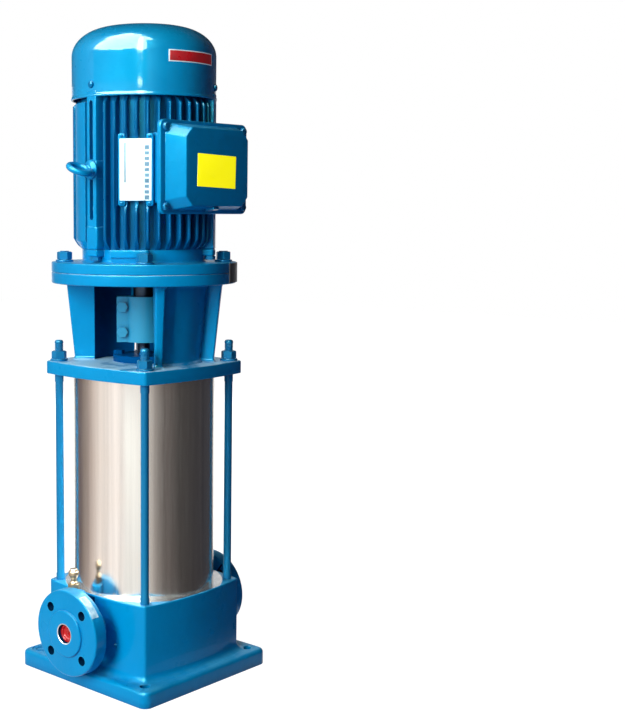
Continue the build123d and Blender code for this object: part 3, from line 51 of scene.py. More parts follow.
# outlines, in the plane, as lists of points
def roundPath(corners, steps=4):
    path = []
    for index, (x, y, radius) in enumerate(corners):
        here = Vector((x, y))
        back = Vector(corners[index - 1][:2]) - here
        ahead = Vector(corners[(index + 1) % len(corners)][:2]) - here
        if radius <= 0 or back.length * ahead.length == 0:
            path.append(here)
            continue
        half = back.angle(ahead) / 2
        reach = min(radius / math.tan(half), 0.49 * back.length, 0.49 * ahead.length)
        bend = reach * math.tan(half)
        centre = here + (back.normalized() + ahead.normalized()).normalized() * (bend / math.sin(half))
        first = here + back.normalized() * reach - centre
        last = here + ahead.normalized() * reach - centre
        for step in range(steps + 1):
            path.append(centre + first.lerp(last, step / steps).normalized() * bend)
    return path


def rectPath(width, height, corner, inset=0.0, steps=5):
    x, y, radius = width / 2 - inset, height / 2 - inset, max(corner - inset, 0.01)
    return roundPath([(x, -y, radius), (x, y, radius), (-x, y, radius), (-x, -y, radius)], steps)


def cutPath(width, height, cut, soft, inset=0.0):
    x, y, c = width / 2 - inset, height / 2 - inset, cut - 0.6 * inset
    corners = [(x, -y + c), (x, y - c), (x - c, y), (-x + c, y), (-x, y - c), (-x, -y + c), (-x + c, -y),
               (x - c, -y)]
    return roundPath([(u, v, soft) for u, v in corners], 3)


def bulgedPath(side, bulge, corner, inset=0.0, sideSteps=20, cornerSteps=6):
    half = side / 2
    sweep = (half * half + bulge * bulge) / (2 * bulge)  # radius of each side's arc
    middle = half + bulge - sweep
    gap = sweep - corner
    knee = (2 * middle + math.sqrt(4 * middle ** 2 - 8 * (middle ** 2 - gap ** 2))) / 4
    turn = math.atan2(knee, knee - middle)
    path = []
    for quarter in range(4):
        spin = Matrix.Rotation(quarter * math.pi / 2, 2)
        for step in range(sideSteps):
            angle = -turn + 2 * turn * step / sideSteps
            path.append(spin @ Vector((middle + (sweep - inset) * math.cos(angle),
                                       (sweep - inset) * math.sin(angle))))
        for step in range(cornerSteps):
            angle = turn + (math.pi / 2 - 2 * turn) * step / cornerSteps
            path.append(spin @ Vector((knee + (corner - inset) * math.cos(angle),
                                       knee + (corner - inset) * math.sin(angle))))
    return path


def hexPath(width, steps=8):
    path = []
    for step in range(6 * steps):
        angle = math.pi * step / (3 * steps)
        reach = width / 2 / math.cos((angle + math.pi / 6) % (math.pi / 3) - math.pi / 6)
        path.append(Vector((reach * math.cos(angle), reach * math.sin(angle))))
    return path


def quarterTurns(steps):
    return [math.pi / 2 * n / steps for n in range(steps + 1)]


def onCircle(radius, angle, level=0.0):
    turn = math.radians(angle)
    return Matrix.Translation((radius * math.cos(turn), radius * math.sin(turn), level))


def ringPath(radius, steps=32):
    return [Vector((radius * math.cos(2 * math.pi * n / steps), radius * math.sin(2 * math.pi * n / steps)))
            for n in range(steps)]


# solids, added to a bmesh in millimetres
def loft(mesh, rings, place=Matrix()):
    rows = [[mesh.verts.new(place @ Vector(point)) for point in ring] for ring in rings]
    for low, high in zip(rows, rows[1:]):
        for n in range(len(low)):
            mesh.faces.new((low[n - 1], low[n], high[n], high[n - 1]))
    mesh.faces.new(rows[0][::-1])
    mesh.faces.new(rows[-1])


def stack(mesh, shape, steps, place=Matrix()):
    loft(mesh, [[(p.x, p.y, z) for p in shape(inset)] for z, inset in steps], place)


def slab(mesh, shape, bottom, top, low=0.5, high=1.0, place=Matrix(), turns=4):
    rise, drop = [(bottom, 0)], [(top, 0)]
    if low:
        rise = [(bottom + low * (1 - math.sin(a)), low * (1 - math.cos(a)))
                for a in quarterTurns(turns)[::-1]]
    if high:
        drop = [(top - high * (1 - math.sin(a)), high * (1 - math.cos(a))) for a in quarterTurns(turns)]
    stack(mesh, shape, rise + drop, place)


def block(mesh, size, *heights, **more):  # a slab of given width, height and corner radius
    slab(mesh, lambda inset: rectPath(*size, inset), *heights, **more)


def revolve(mesh, path, steps=128, start=0.0, sweep=360.0, place=Matrix()):
    whole = sweep >= 360
    rows = []
    for step in range(steps if whole else steps + 1):
        angle = math.radians(start + sweep * step / steps)
        rows.append([mesh.verts.new(place @ Vector((p[0] * math.cos(angle), p[0] * math.sin(angle), p[1])))
                     for p in path])
    for row in range(len(rows) if whole else len(rows) - 1):
        near, far = rows[row], rows[(row + 1) % len(rows)]
        for n in range(len(path)):
            mesh.faces.new((near[n - 1], far[n - 1], far[n], near[n]))
    if not whole:
        mesh.faces.new(rows[0])
        mesh.faces.new(rows[-1][::-1])


def tube(mesh, radius, bottom, top, place=Matrix(), steps=32, edge=0.0):
    slab(mesh, lambda inset: ringPath(radius - inset, steps), bottom, top, edge, edge, place)


def facing(angle, reach, level):  # a place whose +Z points outwards and whose +Y points up
    turn = math.radians(angle)
    out = Vector((math.cos(turn), math.sin(turn), 0))
    side = Vector((-math.sin(turn), math.cos(turn), 0))
    place = Matrix((side, Vector((0, 0, 1)), out)).transposed().to_4x4()
    place.translation = out * reach + Vector((0, 0, level))
    return place


def settle(mesh):
    bmesh.ops.remove_doubles(mesh, verts=mesh.verts, dist=0.003)
    bmesh.ops.dissolve_degenerate(mesh, edges=mesh.edges, dist=0.001)
    bmesh.ops.recalc_face_normals(mesh, faces=mesh.faces)


def toData(name, mesh):
    data = bpy.data.meshes.new(name)
    mesh.to_mesh(data)
    mesh.free()
    return data


def pour(body, part):  # adds a solid to another
    body.from_mesh(toData("part", part))


def putInScene(name, data):
    thing = bpy.data.objects.new(name, data)
    bpy.context.scene.collection.objects.link(thing)
    return thing


def plainMesh(thing):  # the object's mesh with its modifiers applied
    graph = bpy.context.evaluated_depsgraph_get()
    return bpy.data.meshes.new_from_object(thing.evaluated_get(graph))


def carve(solid, tool):
    pair = []
    for name, mesh in (("carveSolid", solid), ("carveTool", tool)):
        settle(mesh)
        pair.append(putInScene(name, toData(name, mesh)))
    cut = pair[0].modifiers.new("cut", "BOOLEAN")
    cut.operation, cut.solver, cut.object = "DIFFERENCE", "EXACT", pair[1]
    result = bmesh.new()
    result.from_mesh(plainMesh(pair[0]))
    for thing in pair:
        bpy.data.objects.remove(thing)
    return result


def finishMesh(name, mesh, smooth=33):  # millimetres to metres, smooth but for sharp edges
    settle(mesh)
    bmesh.ops.scale(mesh, vec=(millimetre,) * 3, verts=mesh.verts)
    data = toData(name, mesh)
    data.polygons.foreach_set("use_smooth", [True] * len(data.polygons))
    data.set_sharp_from_angle(angle=math.radians(smooth))
    return data


def handOver(thing, body, stands):
    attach(thing, body)
    if stands:
        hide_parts(*stands)
    return thing


def finishPiece(name, mesh, material, stands=(), body="pump", smooth=33, paint=None):
    data = finishMesh(name, mesh, smooth)
    thing = putInScene(name, data)
    for surface in (material if isinstance(material, (list, tuple)) else [material]):
        data.materials.append(surface)
    if paint:
        for face in data.polygons:
            face.material_index = paint(face.center / millimetre)
    return handOver(thing, body, stands)


# shader helpers
def addNode(tree, kind, inputs=(), **settings):
    node = tree.nodes.new(kind)
    for key, value in settings.items():
        setattr(node, key, value)
    for key, value in dict(inputs).items():
        if isinstance(value, bpy.types.NodeSocket):
            tree.links.new(value, node.inputs[key])
        else:
            node.inputs[key].default_value = value
    return node


def newGroup(name, inputs, outputs):
    group = bpy.data.node_groups.new(name, "ShaderNodeTree")
    for label, kind, value in inputs:
        group.interface.new_socket(label, in_out="INPUT", socket_type=kind).default_value = value
    for label, kind in outputs:
        group.interface.new_socket(label, in_out="OUTPUT", socket_type=kind)
    return group, group.nodes.new("NodeGroupInput"), group.nodes.new("NodeGroupOutput")


def math2(tree, operation, a, b=0.0, clamp=False):
    return addNode(tree, "ShaderNodeMath", {0: a, 1: b}, operation=operation, use_clamp=clamp).outputs[0]


def objectPoint(tree):
    return addNode(tree, "ShaderNodeTexCoord").outputs["Object"]


def upness(tree):  # 1 where a face looks up
    normal = addNode(tree, "ShaderNodeNewGeometry").outputs["Normal"]
    return addNode(tree, "ShaderNodeSeparateXYZ", {0: normal}).outputs["Z"]


def times(tree, a, b, clamp=False):
    return math2(tree, "MULTIPLY", a, b, clamp)


def bump(tree, strength, distance, height, **more):
    values = {"Strength": strength, "Distance": distance, "Height": height, **more}
    return addNode(tree, "ShaderNodeBump", values).outputs[0]


def noise(tree, point, scale, detail=3.0, rough=0.5):
    return addNode(tree, "ShaderNodeTexNoise",
                   {"Vector": point, "Scale": scale, "Detail": detail, "Roughness": rough}).outputs["Fac"]


def spread(tree, value, low, high, to0=0.0, to1=1.0):
    return addNode(tree, "ShaderNodeMapRange", {"Value": value, "From Min": low, "From Max": high,
                                                "To Min": to0, "To Max": to1}).outputs["Result"]


def makePeel():  # orange peel of sprayed enamel over the casting's own unevenness
    tree, start, end = newGroup("orangePeel",
                                [("Peel", "NodeSocketFloat", 0.2), ("Cast", "NodeSocketFloat", 0.3)],
                                [("Normal", "NodeSocketVector")])
    point = objectPoint(tree)
    cast = bump(tree, start.outputs["Cast"], 0.0016, noise(tree, point, 70.0, 5.0, 0.6))
    peel = bump(tree, start.outputs["Peel"], 0.0003, noise(tree, point, 420.0, 2.0), Normal=cast)
    tree.links.new(peel, end.inputs[0])
    return tree


def makeWearAndEdgeLight():  # mask along sharp edges, broken up by noise: edge wear, and painted edge highlight
    tree, start, end = newGroup("edgeWearAndHighlight",
                                [("Width", "NodeSocketFloat", 0.0012), ("Amount", "NodeSocketFloat", 0.5)],
                                [("Mask", "NodeSocketFloat")])
    soft = addNode(tree, "ShaderNodeBevel", {"Radius": start.outputs["Width"]}, samples=6)
    plain = addNode(tree, "ShaderNodeNewGeometry").outputs["Normal"]
    dot = addNode(tree, "ShaderNodeVectorMath", {0: soft.outputs[0], 1: plain},
                  operation="DOT_PRODUCT").outputs["Value"]
    edge = spread(tree, dot, 0.995, 0.86)
    patch = spread(tree, noise(tree, objectPoint(tree), 90.0, 4.0, 0.65), 0.42, 0.66)
    mask = times(tree, times(tree, edge, patch), start.outputs["Amount"], True)
    tree.links.new(mask, end.inputs[0])
    return tree


def makeDustAndTopLight():  # thin dust on upward faces, which also paints light on the tops in a paler blue
    tree, start, end = newGroup("dustAndTopLightFilm", [("Amount", "NodeSocketFloat", 0.2)],
                                [("Mask", "NodeSocketFloat")])
    lie = spread(tree, upness(tree), 0.55, 1.0)
    cloud = spread(tree, noise(tree, objectPoint(tree), 24.0, 5.0, 0.65), 0.35, 0.7)
    tree.links.new(times(tree, times(tree, lie, cloud), start.outputs["Amount"], True), end.inputs[0])
    return tree


def makeCornerShade():  # painted shade: colour darkened in corners by ambient occlusion
    tree, start, end = newGroup("paintedCornerShade",
                                [("Reach", "NodeSocketFloat", 0.012), ("Depth", "NodeSocketFloat", 0.4)],
                                [("Mask", "NodeSocketFloat")])
    free = addNode(tree, "ShaderNodeAmbientOcclusion", {"Distance": start.outputs["Reach"]},
                   samples=6).outputs["AO"]
    tree.links.new(times(tree, spread(tree, free, 0.95, 0.35), start.outputs["Depth"], True), end.inputs[0])
    return tree


def makeGrain():  # lengthwise rolling streaks on sheet
    tree, start, end = newGroup("rolledGrain",
                                [("Fine", "NodeSocketFloat", 900.0), ("Coarse", "NodeSocketFloat", 60.0)],
                                [("Fine", "NodeSocketFloat"), ("Coarse", "NodeSocketFloat")])
    point = objectPoint(tree)
    for index, stretch in ((0, 0.02), (1, 0.012)):
        flat = addNode(tree, "ShaderNodeVectorMath", {0: point, 1: (1.0, 1.0, stretch)},
                       operation="MULTIPLY").outputs[0]
        tree.links.new(noise(tree, flat, start.outputs[index], 4.0, 0.6), end.inputs[index])
    return tree


peelGroup, wearAndEdgeLightGroup, dustAndTopLightGroup = makePeel(), makeWearAndEdgeLight(), makeDustAndTopLight()
cornerShadeGroup, grainGroup = makeCornerShade(), makeGrain()


def useGroup(tree, group, **inputs):
    return addNode(tree, "ShaderNodeGroup", inputs, node_tree=group)


def newMaterial(name, **constants):
    material = bpy.data.materials.new(name)
    material.use_nodes = True
    tree = material.node_tree
    shader = tree.nodes["Principled BSDF"]
    for label, value in constants.items():
        shader.inputs[label.replace("_", " ")].default_value = value
    return material, tree, shader


def mixColour(tree, factor, a, b):
    node = addNode(tree, "ShaderNodeMix", {"Factor": factor}, data_type="RGBA")
    for socket, value in ((node.inputs[6], a), (node.inputs[7], b)):
        if isinstance(value, bpy.types.NodeSocket):
            tree.links.new(value, socket)
        else:
            socket.default_value = (*value, 1.0)
    return node.outputs[2]


def enamel(name, colour, deep, wornAndLitEdge, rough=(0.26, 0.38), cast=0.3, peel=0.25, wearAndHighlight=0.5, dustAndTopLight=0.5, coat=0.1,
           dustAndTopLightTone=(0.10, 0.42, 0.68), sheen=0.16):
    material, tree, shader = newMaterial(name, Coat_Weight=coat, Coat_Roughness=0.04,
                                         Specular_IOR_Level=sheen)
    shader.inputs["Specular Tint"].default_value = (0.06, 0.85, 1.0, 1.0)
    point = objectPoint(tree)
    cloud = spread(tree, noise(tree, point, 9.0, 4.0), 0.3, 0.7)
    tone = mixColour(tree, times(tree, cloud, 0.25), colour, deep)
    # painted shade: the tone turns deeper where corners are occluded
    tone = mixColour(tree, useGroup(tree, cornerShadeGroup, Depth=0.75).outputs[0], tone, deep)
    more = spread(tree, upness(tree), -0.2, 0.7, 0.5, 1.7)  # edges that look up show more wear and a brighter painted highlight
    rubbedAndLitEdge = times(tree, useGroup(tree, wearAndEdgeLightGroup, Amount=wearAndHighlight).outputs[0], more, True)
    tone = mixColour(tree, rubbedAndLitEdge, tone, wornAndLitEdge)
    # upward faces turn to the pale film colour: dust, and painted light on the tops
    dustAndLitTop = useGroup(tree, dustAndTopLightGroup, Amount=dustAndTopLight).outputs[0]
    tone = mixColour(tree, dustAndLitTop, tone, dustAndTopLightTone)
    tree.links.new(tone, shader.inputs["Base Color"])
    gloss = spread(tree, noise(tree, point, 35.0, 4.0), 0.3, 0.7, *rough)
    tree.links.new(math2(tree, "ADD", gloss, times(tree, dustAndLitTop, 0.3), True), shader.inputs["Roughness"])
    tree.links.new(useGroup(tree, peelGroup, Peel=peel, Cast=cast).outputs[0], shader.inputs["Normal"])
    return material


def metal(name, colour, stain, rough=(0.15, 0.3), scale=40.0, pits=0.1):
    material, tree, shader = newMaterial(name, Metallic=1.0)
    point = objectPoint(tree)
    cloud = noise(tree, point, scale, 5.0, 0.6)
    tree.links.new(mixColour(tree, spread(tree, cloud, 0.35, 0.7), colour, stain),
                   shader.inputs["Base Color"])
    tree.links.new(spread(tree, noise(tree, point, scale * 3, 4.0), 0.3, 0.7, *rough),
                   shader.inputs["Roughness"])
    tree.links.new(bump(tree, pits, 0.0004, noise(tree, point, scale * 14, 2.0)), shader.inputs["Normal"])
    return material


def plastic(name, colour, deep, rough=(0.3, 0.45), scale=60.0, glow=0.0):
    material, tree, shader = newMaterial(name, Specular_IOR_Level=0.4)
    point = objectPoint(tree)
    tone = mixColour(tree, spread(tree, noise(tree, point, scale, 4.0), 0.35, 0.7), colour, deep)
    tree.links.new(tone, shader.inputs["Base Color"])
    tree.links.new(spread(tree, noise(tree, point, scale * 2, 3.0), 0.3, 0.7, *rough),
                   shader.inputs["Roughness"])
    tree.links.new(bump(tree, 0.1, 0.0003, noise(tree, point, scale * 12, 2.0)), shader.inputs["Normal"])
    # glow: emission in the plastic's own colour, painted light that keeps plates and labels bright
    if glow:
        shader.inputs["Emission Color"].default_value = (*colour, 1.0)
        shader.inputs["Emission Strength"].default_value = glow
    return material


def makeStainless():
    material, tree, shader = newMaterial("stainless", Metallic=1.0, Anisotropic=0.35)
    grain = useGroup(tree, grainGroup)
    point = objectPoint(tree)
    smear = spread(tree, noise(tree, point, 11.0, 5.0, 0.6), 0.35, 0.7)
    tone = mixColour(tree, spread(tree, grain.outputs["Coarse"], 0.3, 0.7), (0.74, 0.70, 0.66),
                     (0.60, 0.56, 0.53))
    tone = mixColour(tree, times(tree, smear, 0.25), tone, (0.70, 0.60, 0.52))
    tree.links.new(tone, shader.inputs["Base Color"])
    tree.links.new(spread(tree, grain.outputs["Fine"], 0.3, 0.7, 0.12, 0.24), shader.inputs["Roughness"])
    tree.links.new(bump(tree, 0.12, 0.0004, grain.outputs["Coarse"]), shader.inputs["Normal"])
    return material


blue, deepBlue, paleBlue = (0.0, 0.25, 0.545), (0.0, 0.085, 0.27), (0.26, 0.70, 0.90)
paint = enamel("blueEnamel", blue, deepBlue, paleBlue)
# the bracket's upward faces take a strong pale film: painted light on the plate's top, with some dust
platePaint = enamel("bracketEnamel", blue, deepBlue, paleBlue, dustAndTopLight=2.6, dustAndTopLightTone=(0.46, 0.64, 0.84))
sheetPaint = enamel("sheetEnamel", (0.0, 0.285, 0.575), deepBlue, paleBlue, rough=(0.24, 0.32), cast=0.02,
                    peel=0.05, dustAndTopLight=0.0, coat=0.5, sheen=0.12)
# near-black blue: painted shade inside the bracket, on its inner walls, the gland and the coupling guard
insideShadePaint = enamel("insideShadeEnamel", (0.0, 0.06, 0.21), (0.0, 0.04, 0.14), (0.0, 0.08, 0.24), dustAndTopLight=0.0,
                    coat=0.0, sheen=0.03)
barPaint = enamel("barEnamel", (0.008, 0.165, 0.35), deepBlue, (0.2, 0.5, 0.68), cast=0.05, peel=0.2,
                  wearAndHighlight=0.35, coat=0.2)
# near-black blue: painted shade inside the ports' bore and bolt holes
holeShadePaint = enamel("holeShadeEnamel", (0.0, 0.03, 0.10), (0.0, 0.02, 0.06), (0.0, 0.04, 0.12), dustAndTopLight=0.0,
                   coat=0.0, sheen=0.03)
# darker enamel for the drum between the fins: painted shade
gapShadePaint = enamel("gapShadeEnamel", (0.0, 0.09, 0.26), (0.0, 0.05, 0.15), deepBlue, dustAndTopLight=0.0)
couplingPaint = enamel("couplingEnamel", (0.035, 0.27, 0.46), (0.0, 0.10, 0.24), (0.2, 0.5, 0.7), cast=0.1,
                       wearAndHighlight=0.3, coat=0.4)
darkPaint = enamel("boltEnamel", (0.0, 0.14, 0.34), (0.0, 0.04, 0.12), (0.1, 0.3, 0.5), cast=0.1, wearAndHighlight=0.6)
stainless = makeStainless()
stageSteel = metal("stageSteel", (0.60, 0.60, 0.61), (0.50, 0.50, 0.52))
shaftSteel = metal("shaftSteel", (0.20, 0.22, 0.25), (0.12, 0.13, 0.15), rough=(0.25, 0.4))
seatSteel = metal("seatSteel", (0.86, 0.86, 0.86), (0.74, 0.74, 0.75), rough=(0.12, 0.22), scale=30.0)
# dark steel: painted shade on the shafts, which sit in the bracket's shadow
shadedShaftSteel = metal("shadedShaftSteel", (0.05, 0.075, 0.11), (0.02, 0.03, 0.05), rough=(0.3, 0.45))
zincSteel = metal("zincSteel", (0.62, 0.64, 0.66), (0.45, 0.46, 0.47), rough=(0.25, 0.4), scale=90.0)
coreSteel = metal("coreSteel", (0.28, 0.29, 0.31), (0.2, 0.2, 0.21), rough=(0.4, 0.55))
copper = metal("coilCopper", (0.55, 0.24, 0.10), (0.35, 0.14, 0.06), rough=(0.3, 0.5))
brass = metal("ventBrass", (0.38, 0.28, 0.19), (0.26, 0.17, 0.10), rough=(0.30, 0.42), scale=120.0)
bronze = metal("bushBronze", (0.62, 0.44, 0.24), (0.5, 0.33, 0.17))
# the glow on the red plastic, the plates and the labels is painted light
redPlastic = plastic("redPlastic", (0.50, 0.004, 0.006), (0.30, 0.002, 0.004), rough=(0.22, 0.32),
                     glow=0.04)
whitePlate = plastic("whitePlate", (0.90, 0.91, 0.92), (0.80, 0.82, 0.84), glow=0.12)
yellowPlate = plastic("yellowPlate", (1.0, 0.86, 0.0), (1.0, 0.80, 0.0), glow=0.8)
markPlate = plastic("markInk", (0.01, 0.07, 0.14), (0.04, 0.16, 0.24))
rimPatchTone = plastic("rimPatchTone", (0.66, 0.76, 0.86), (0.10, 0.36, 0.58), scale=150.0)
redPlate = plastic("redPlate", (0.62, 0.006, 0.012), (0.36, 0.004, 0.008), rough=(0.25, 0.35), glow=0.16)
brownPlate = plastic("brownPlate", (0.09, 0.045, 0.04), (0.05, 0.025, 0.025))
fanPlastic = plastic("fanPlastic", (0.02, 0.02, 0.022), (0.012, 0.012, 0.014))
boardPlastic = plastic("boardPlastic", (0.16, 0.08, 0.04), (0.1, 0.05, 0.025))
rubber = plastic("sealRubber", (0.012, 0.012, 0.013), (0.02, 0.02, 0.021), rough=(0.55, 0.75))
ceramic = plastic("sealCeramic", (0.80, 0.78, 0.72), (0.7, 0.68, 0.62))
carbon = plastic("sealCarbon", (0.03, 0.03, 0.033), (0.02, 0.02, 0.022))
print("materials made")


# base casting with foot and ports
base = {"foot": 243.6, "footThickness": 21.7, "footCorner": 12, "footEdge": 5.5, "side": 184.8,
        "bulge": 10.6, "corner": 4.5, "root": 10.0, "edge": 2.0, "seat": 109, "hole": 14, "holePitch": 204,
        "spotFace": 26, "spotDepth": 1.0}
port = {"height": 78.5, "reach": 150, "thickness": 23, "flange": 115, "face": 62, "faceHeight": 3.4,
        "bore": 25, "circle": 85, "hole": 12.6, "neck": 28, "neckRoot": 30, "rim": 13.9,
        "inner": 96}
boss = {"x": -123, "y": 10, "length": 26, "width": 24, "top": 129}
# small cast pip on the inlet's side
nub = {"size": 5, "corner": 2.4, "height": 3, "reach": 99.8, "level": 62, "aside": 46}


def portPlace(side):
    place = Matrix.Rotation(math.radians(90 * side), 4, "Y")
    place.translation = Vector((0, 0, port["height"]))
    return place


def makeBase():
    body = bmesh.new()
    thick, top = base["footThickness"], levels["baseTop"]
    slab(body, lambda inset: rectPath(base["foot"], base["foot"], base["footCorner"], inset, 7), 0, thick,
         1.0, base["footEdge"], turns=6)
    holes = bmesh.new()
    for x in (-0.5, 0.5):
        for y in (-0.5, 0.5):
            place = Matrix.Translation((x * base["holePitch"], y * base["holePitch"], 0))
            tube(holes, base["hole"] / 2, -5, thick + 5, place)
            tube(holes, base["spotFace"] / 2, thick - base["spotDepth"], thick + 5.5, place, 48)
    body = carve(body, holes)
    root, edge = base["root"], base["edge"]
    turns = quarterTurns(7)
    steps = [(thick - 0.4, -root)] + [(thick + root * (1 - math.cos(a)), -root * (1 - math.sin(a)))
                                      for a in turns]
    steps += [(top - edge * (1 - math.sin(a)), edge * (1 - math.cos(a))) for a in turns]
    stack(body, lambda inset: bulgedPath(base["side"], base["bulge"], base["corner"], inset), steps)
    for side in (-1, 1):
        reach, back = port["reach"], port["reach"] - port["thickness"]
        step = reach - port["faceHeight"]
        path = roundPath([(port["bore"] / 2, port["inner"], 0), (port["bore"] / 2, reach, 1.2),
                          (port["rim"], reach, 0), (port["face"] / 2, reach, 2.4),
                          (port["face"] / 2, step, 0.6), (port["flange"] / 2, step, 2.4),
                          (port["flange"] / 2, back, 2.0), (port["neck"], back, 4),
                          (port["neckRoot"], port["inner"], 0)], 5)
        disc = bmesh.new()
        revolve(disc, path, 112, place=portPlace(side))
        tools = bmesh.new()
        for quarter in range(4):
            spot = onCircle(port["circle"] / 2, 45 + 90 * quarter)
            tube(tools, port["hole"] / 2, back - 8, reach + 5, portPlace(side) @ spot)
        pour(body, carve(disc, tools))
    block(body, (boss["length"], boss["width"], 5), port["height"], boss["top"], 0, 2.5,
         Matrix.Translation((boss["x"], boss["y"], 0)))
    block(body, (nub["size"], nub["size"], nub["corner"]), 0, nub["height"], 0, 2,
         facing(180, nub["reach"], nub["level"]) @ Matrix.Translation((nub["aside"], 0, 0)))
    seat = bmesh.new()
    stack(seat, lambda inset: bulgedPath(base["side"], base["bulge"], base["corner"], inset),
          [(top - 1.5, edge + 0.2), (top + 0.06, edge + 0.2)])
    outside = bmesh.new()
    revolve(outside, [(base["seat"], top - 3), (base["seat"] + 60, top - 3), (base["seat"] + 60, top + 3),
                      (base["seat"], top + 3)], 96)
    pour(body, carve(seat, outside))

    # 1 bare rim of the bore, 2 machined seat under the sleeve, 3 inside the bolt holes and the bore, a dark
    # enamel that is painted shade
    def surface(centre):
        near = math.hypot(centre.y, centre.z - port["height"])
        if abs(centre.x) > port["reach"] - 1.5 and near < port["rim"]:
            return 1
        if centre.z > top + 0.03 and math.hypot(centre.x, centre.y) < base["seat"]:
            return 2
        aside = port["circle"] / 2 * math.sqrt(0.5)
        fromHole = math.hypot(abs(centre.y) - aside, abs(centre.z - port["height"]) - aside)
        offFace = abs(abs(centre.x) - port["reach"] + port["faceHeight"]) > 0.3
        inHole = fromHole < port["hole"] / 2 and offFace
        return 3 if abs(centre.x) > 100 and (inHole or near < port["bore"] / 2) else 0
    finishPiece("baseCasting", body, [paint, zincSteel, seatSteel, holeShadePaint], ["pump_base"],
                paint=surface)


makeBase()

# protection plugs of the ports
plug = {"sunk": 5, "length": 8, "radius": 12.2, "rim": 9.4, "well": 8.6, "wellDepth": 3.2,
        "floor": 3.5, "grip": (9, 2.2, 0.8)}
for side, node in ((-1, "inlet_plug"), (1, "outlet_plug")):
    mesh = bmesh.new()
    face = port["reach"] - plug["sunk"]
    revolve(mesh, roundPath([(0, face - plug["length"], 0), (0, face - plug["floor"], 0),
                             (plug["well"], face - plug["wellDepth"], 1.0), (plug["rim"], face, 0.6),
                             (plug["radius"], face, 0.6), (plug["radius"], face - plug["length"], 0)], 3),
            64, place=portPlace(side))
    block(mesh, plug["grip"], face - 5, face - 1.6, 0, 0.5, portPlace(side))
    finishPiece(node.replace("_p", "P"), mesh, redPlastic, [node])
print("base made")

# sleeve, rods, nuts and washers
sleeve = {"radius": 96.55, "wall": 2.0, "seat": 4.0}
mesh = bmesh.new()
revolve(mesh,
        roundPath([(sleeve["radius"] - sleeve["wall"], levels["baseTop"] - sleeve["seat"], 0),
                   (sleeve["radius"], levels["baseTop"] - sleeve["seat"], 0),
                   (sleeve["radius"], levels["plateBottom"] + sleeve["seat"], 0),
                   (sleeve["radius"] - sleeve["wall"], levels["plateBottom"] + sleeve["seat"], 0)]), 192)
finishPiece("outerSleeve", mesh, stainless, ["outer_sleeve"])

rods = {"offset": 82, "shank": 10.8, "thread": 12, "pitch": 1.75, "cut": 0.9, "lowThread": 9,
        "highThread": 12, "end": 28.4, "root": 20}


def threadPath(path, bottom, top, radius):
    level = bottom
    while level + rods["pitch"] <= top:
        path += [(radius - rods["cut"], level), (radius, level + 0.45 * rods["pitch"]),
                 (radius, level + 0.6 * rods["pitch"])]
        level += rods["pitch"]


def makeRod(mesh, x, y):
    radius, top = rods["thread"] / 2, levels["plateTop"] + rods["end"]
    path = [(0, levels["baseTop"] - rods["root"]), (radius, levels["baseTop"] - rods["root"])]
    path += [(radius, levels["baseTop"] + rods["lowThread"] - 1),
             (rods["shank"] / 2, levels["baseTop"] + rods["lowThread"])]
    path += [(rods["shank"] / 2, levels["plateBottom"] - rods["highThread"]),
             (radius, levels["plateBottom"] - rods["highThread"] + 1)]
    path += [(radius, levels["plateTop"] + 8)]
    threadPath(path, levels["plateTop"] + 9, top - 3, radius)
    path += [(radius, top - 2.8), (radius - 0.7, top - 1.2), (radius - 2, top - 0.3), (0, top)]
    revolve(mesh, path, 40, place=Matrix.Translation((x, y, 0)))


mesh = bmesh.new()
for x in (-1, 1):
    for y in (-1, 1):
        makeRod(mesh, x * rods["offset"], y * rods["offset"])
finishPiece("tieRods", mesh, barPaint, ["tie_rods"])


def makeNut(mesh, width, height, bore, place=Matrix()):
    crown = 0.94 * width / 2
    outline = hexPath(width)
    fall = [(p.length - crown) * 0.5 for p in outline]
    rings = [[(p.x * crown / p.length, p.y * crown / p.length, 0) for p in outline],
             [(p.x, p.y, f) for p, f in zip(outline, fall)],
             [(p.x, p.y, height - f) for p, f in zip(outline, fall)],
             [(p.x * crown / p.length, p.y * crown / p.length, height) for p in outline]]
    if bore:
        for level in (height, height - 0.8, 0.8, 0):
            hole = bore / 2 + (0.7 if level in (0, height) else 0)
            rings.append([(p.x * hole / p.length, p.y * hole / p.length, level) for p in outline])
        rows = [[mesh.verts.new(place @ Vector(point)) for point in ring] for ring in rings]
        for row in range(len(rows)):
            low, high = rows[row], rows[(row + 1) % len(rows)]
            for n in range(len(low)):
                mesh.faces.new((low[n - 1], low[n], high[n], high[n - 1]))
    else:
        loft(mesh, rings, place)


def newGrower(name, kinds):  # Geometry Nodes tree with its inputs' identifiers
    tree = bpy.data.node_groups.new(name, "GeometryNodeTree")
    sockets = {}
    for label, kind in kinds.items():
        sockets[label] = tree.interface.new_socket(label, in_out="INPUT",
                                                   socket_type="NodeSocket" + kind).identifier
    tree.interface.new_socket("Geometry", in_out="OUTPUT", socket_type="NodeSocketGeometry")
    return tree, sockets, tree.nodes.new("NodeGroupInput").outputs, tree.nodes.new("NodeGroupOutput")


def coatAndEnd(tree, geometry, given, end):
    coated = addNode(tree, "GeometryNodeSetMaterial", {"Geometry": geometry, "Material": given["Material"]})
    tree.links.new(coated.outputs[0], end.inputs[0])


def growMesh(thing, tree, sockets, values):
    grow = thing.modifiers.new("rows", "NODES")
    grow.node_group = tree
    for label, value in values.items():
        grow[sockets[label]] = value
    data = plainMesh(thing)
    thing.modifiers.remove(grow)
    return data


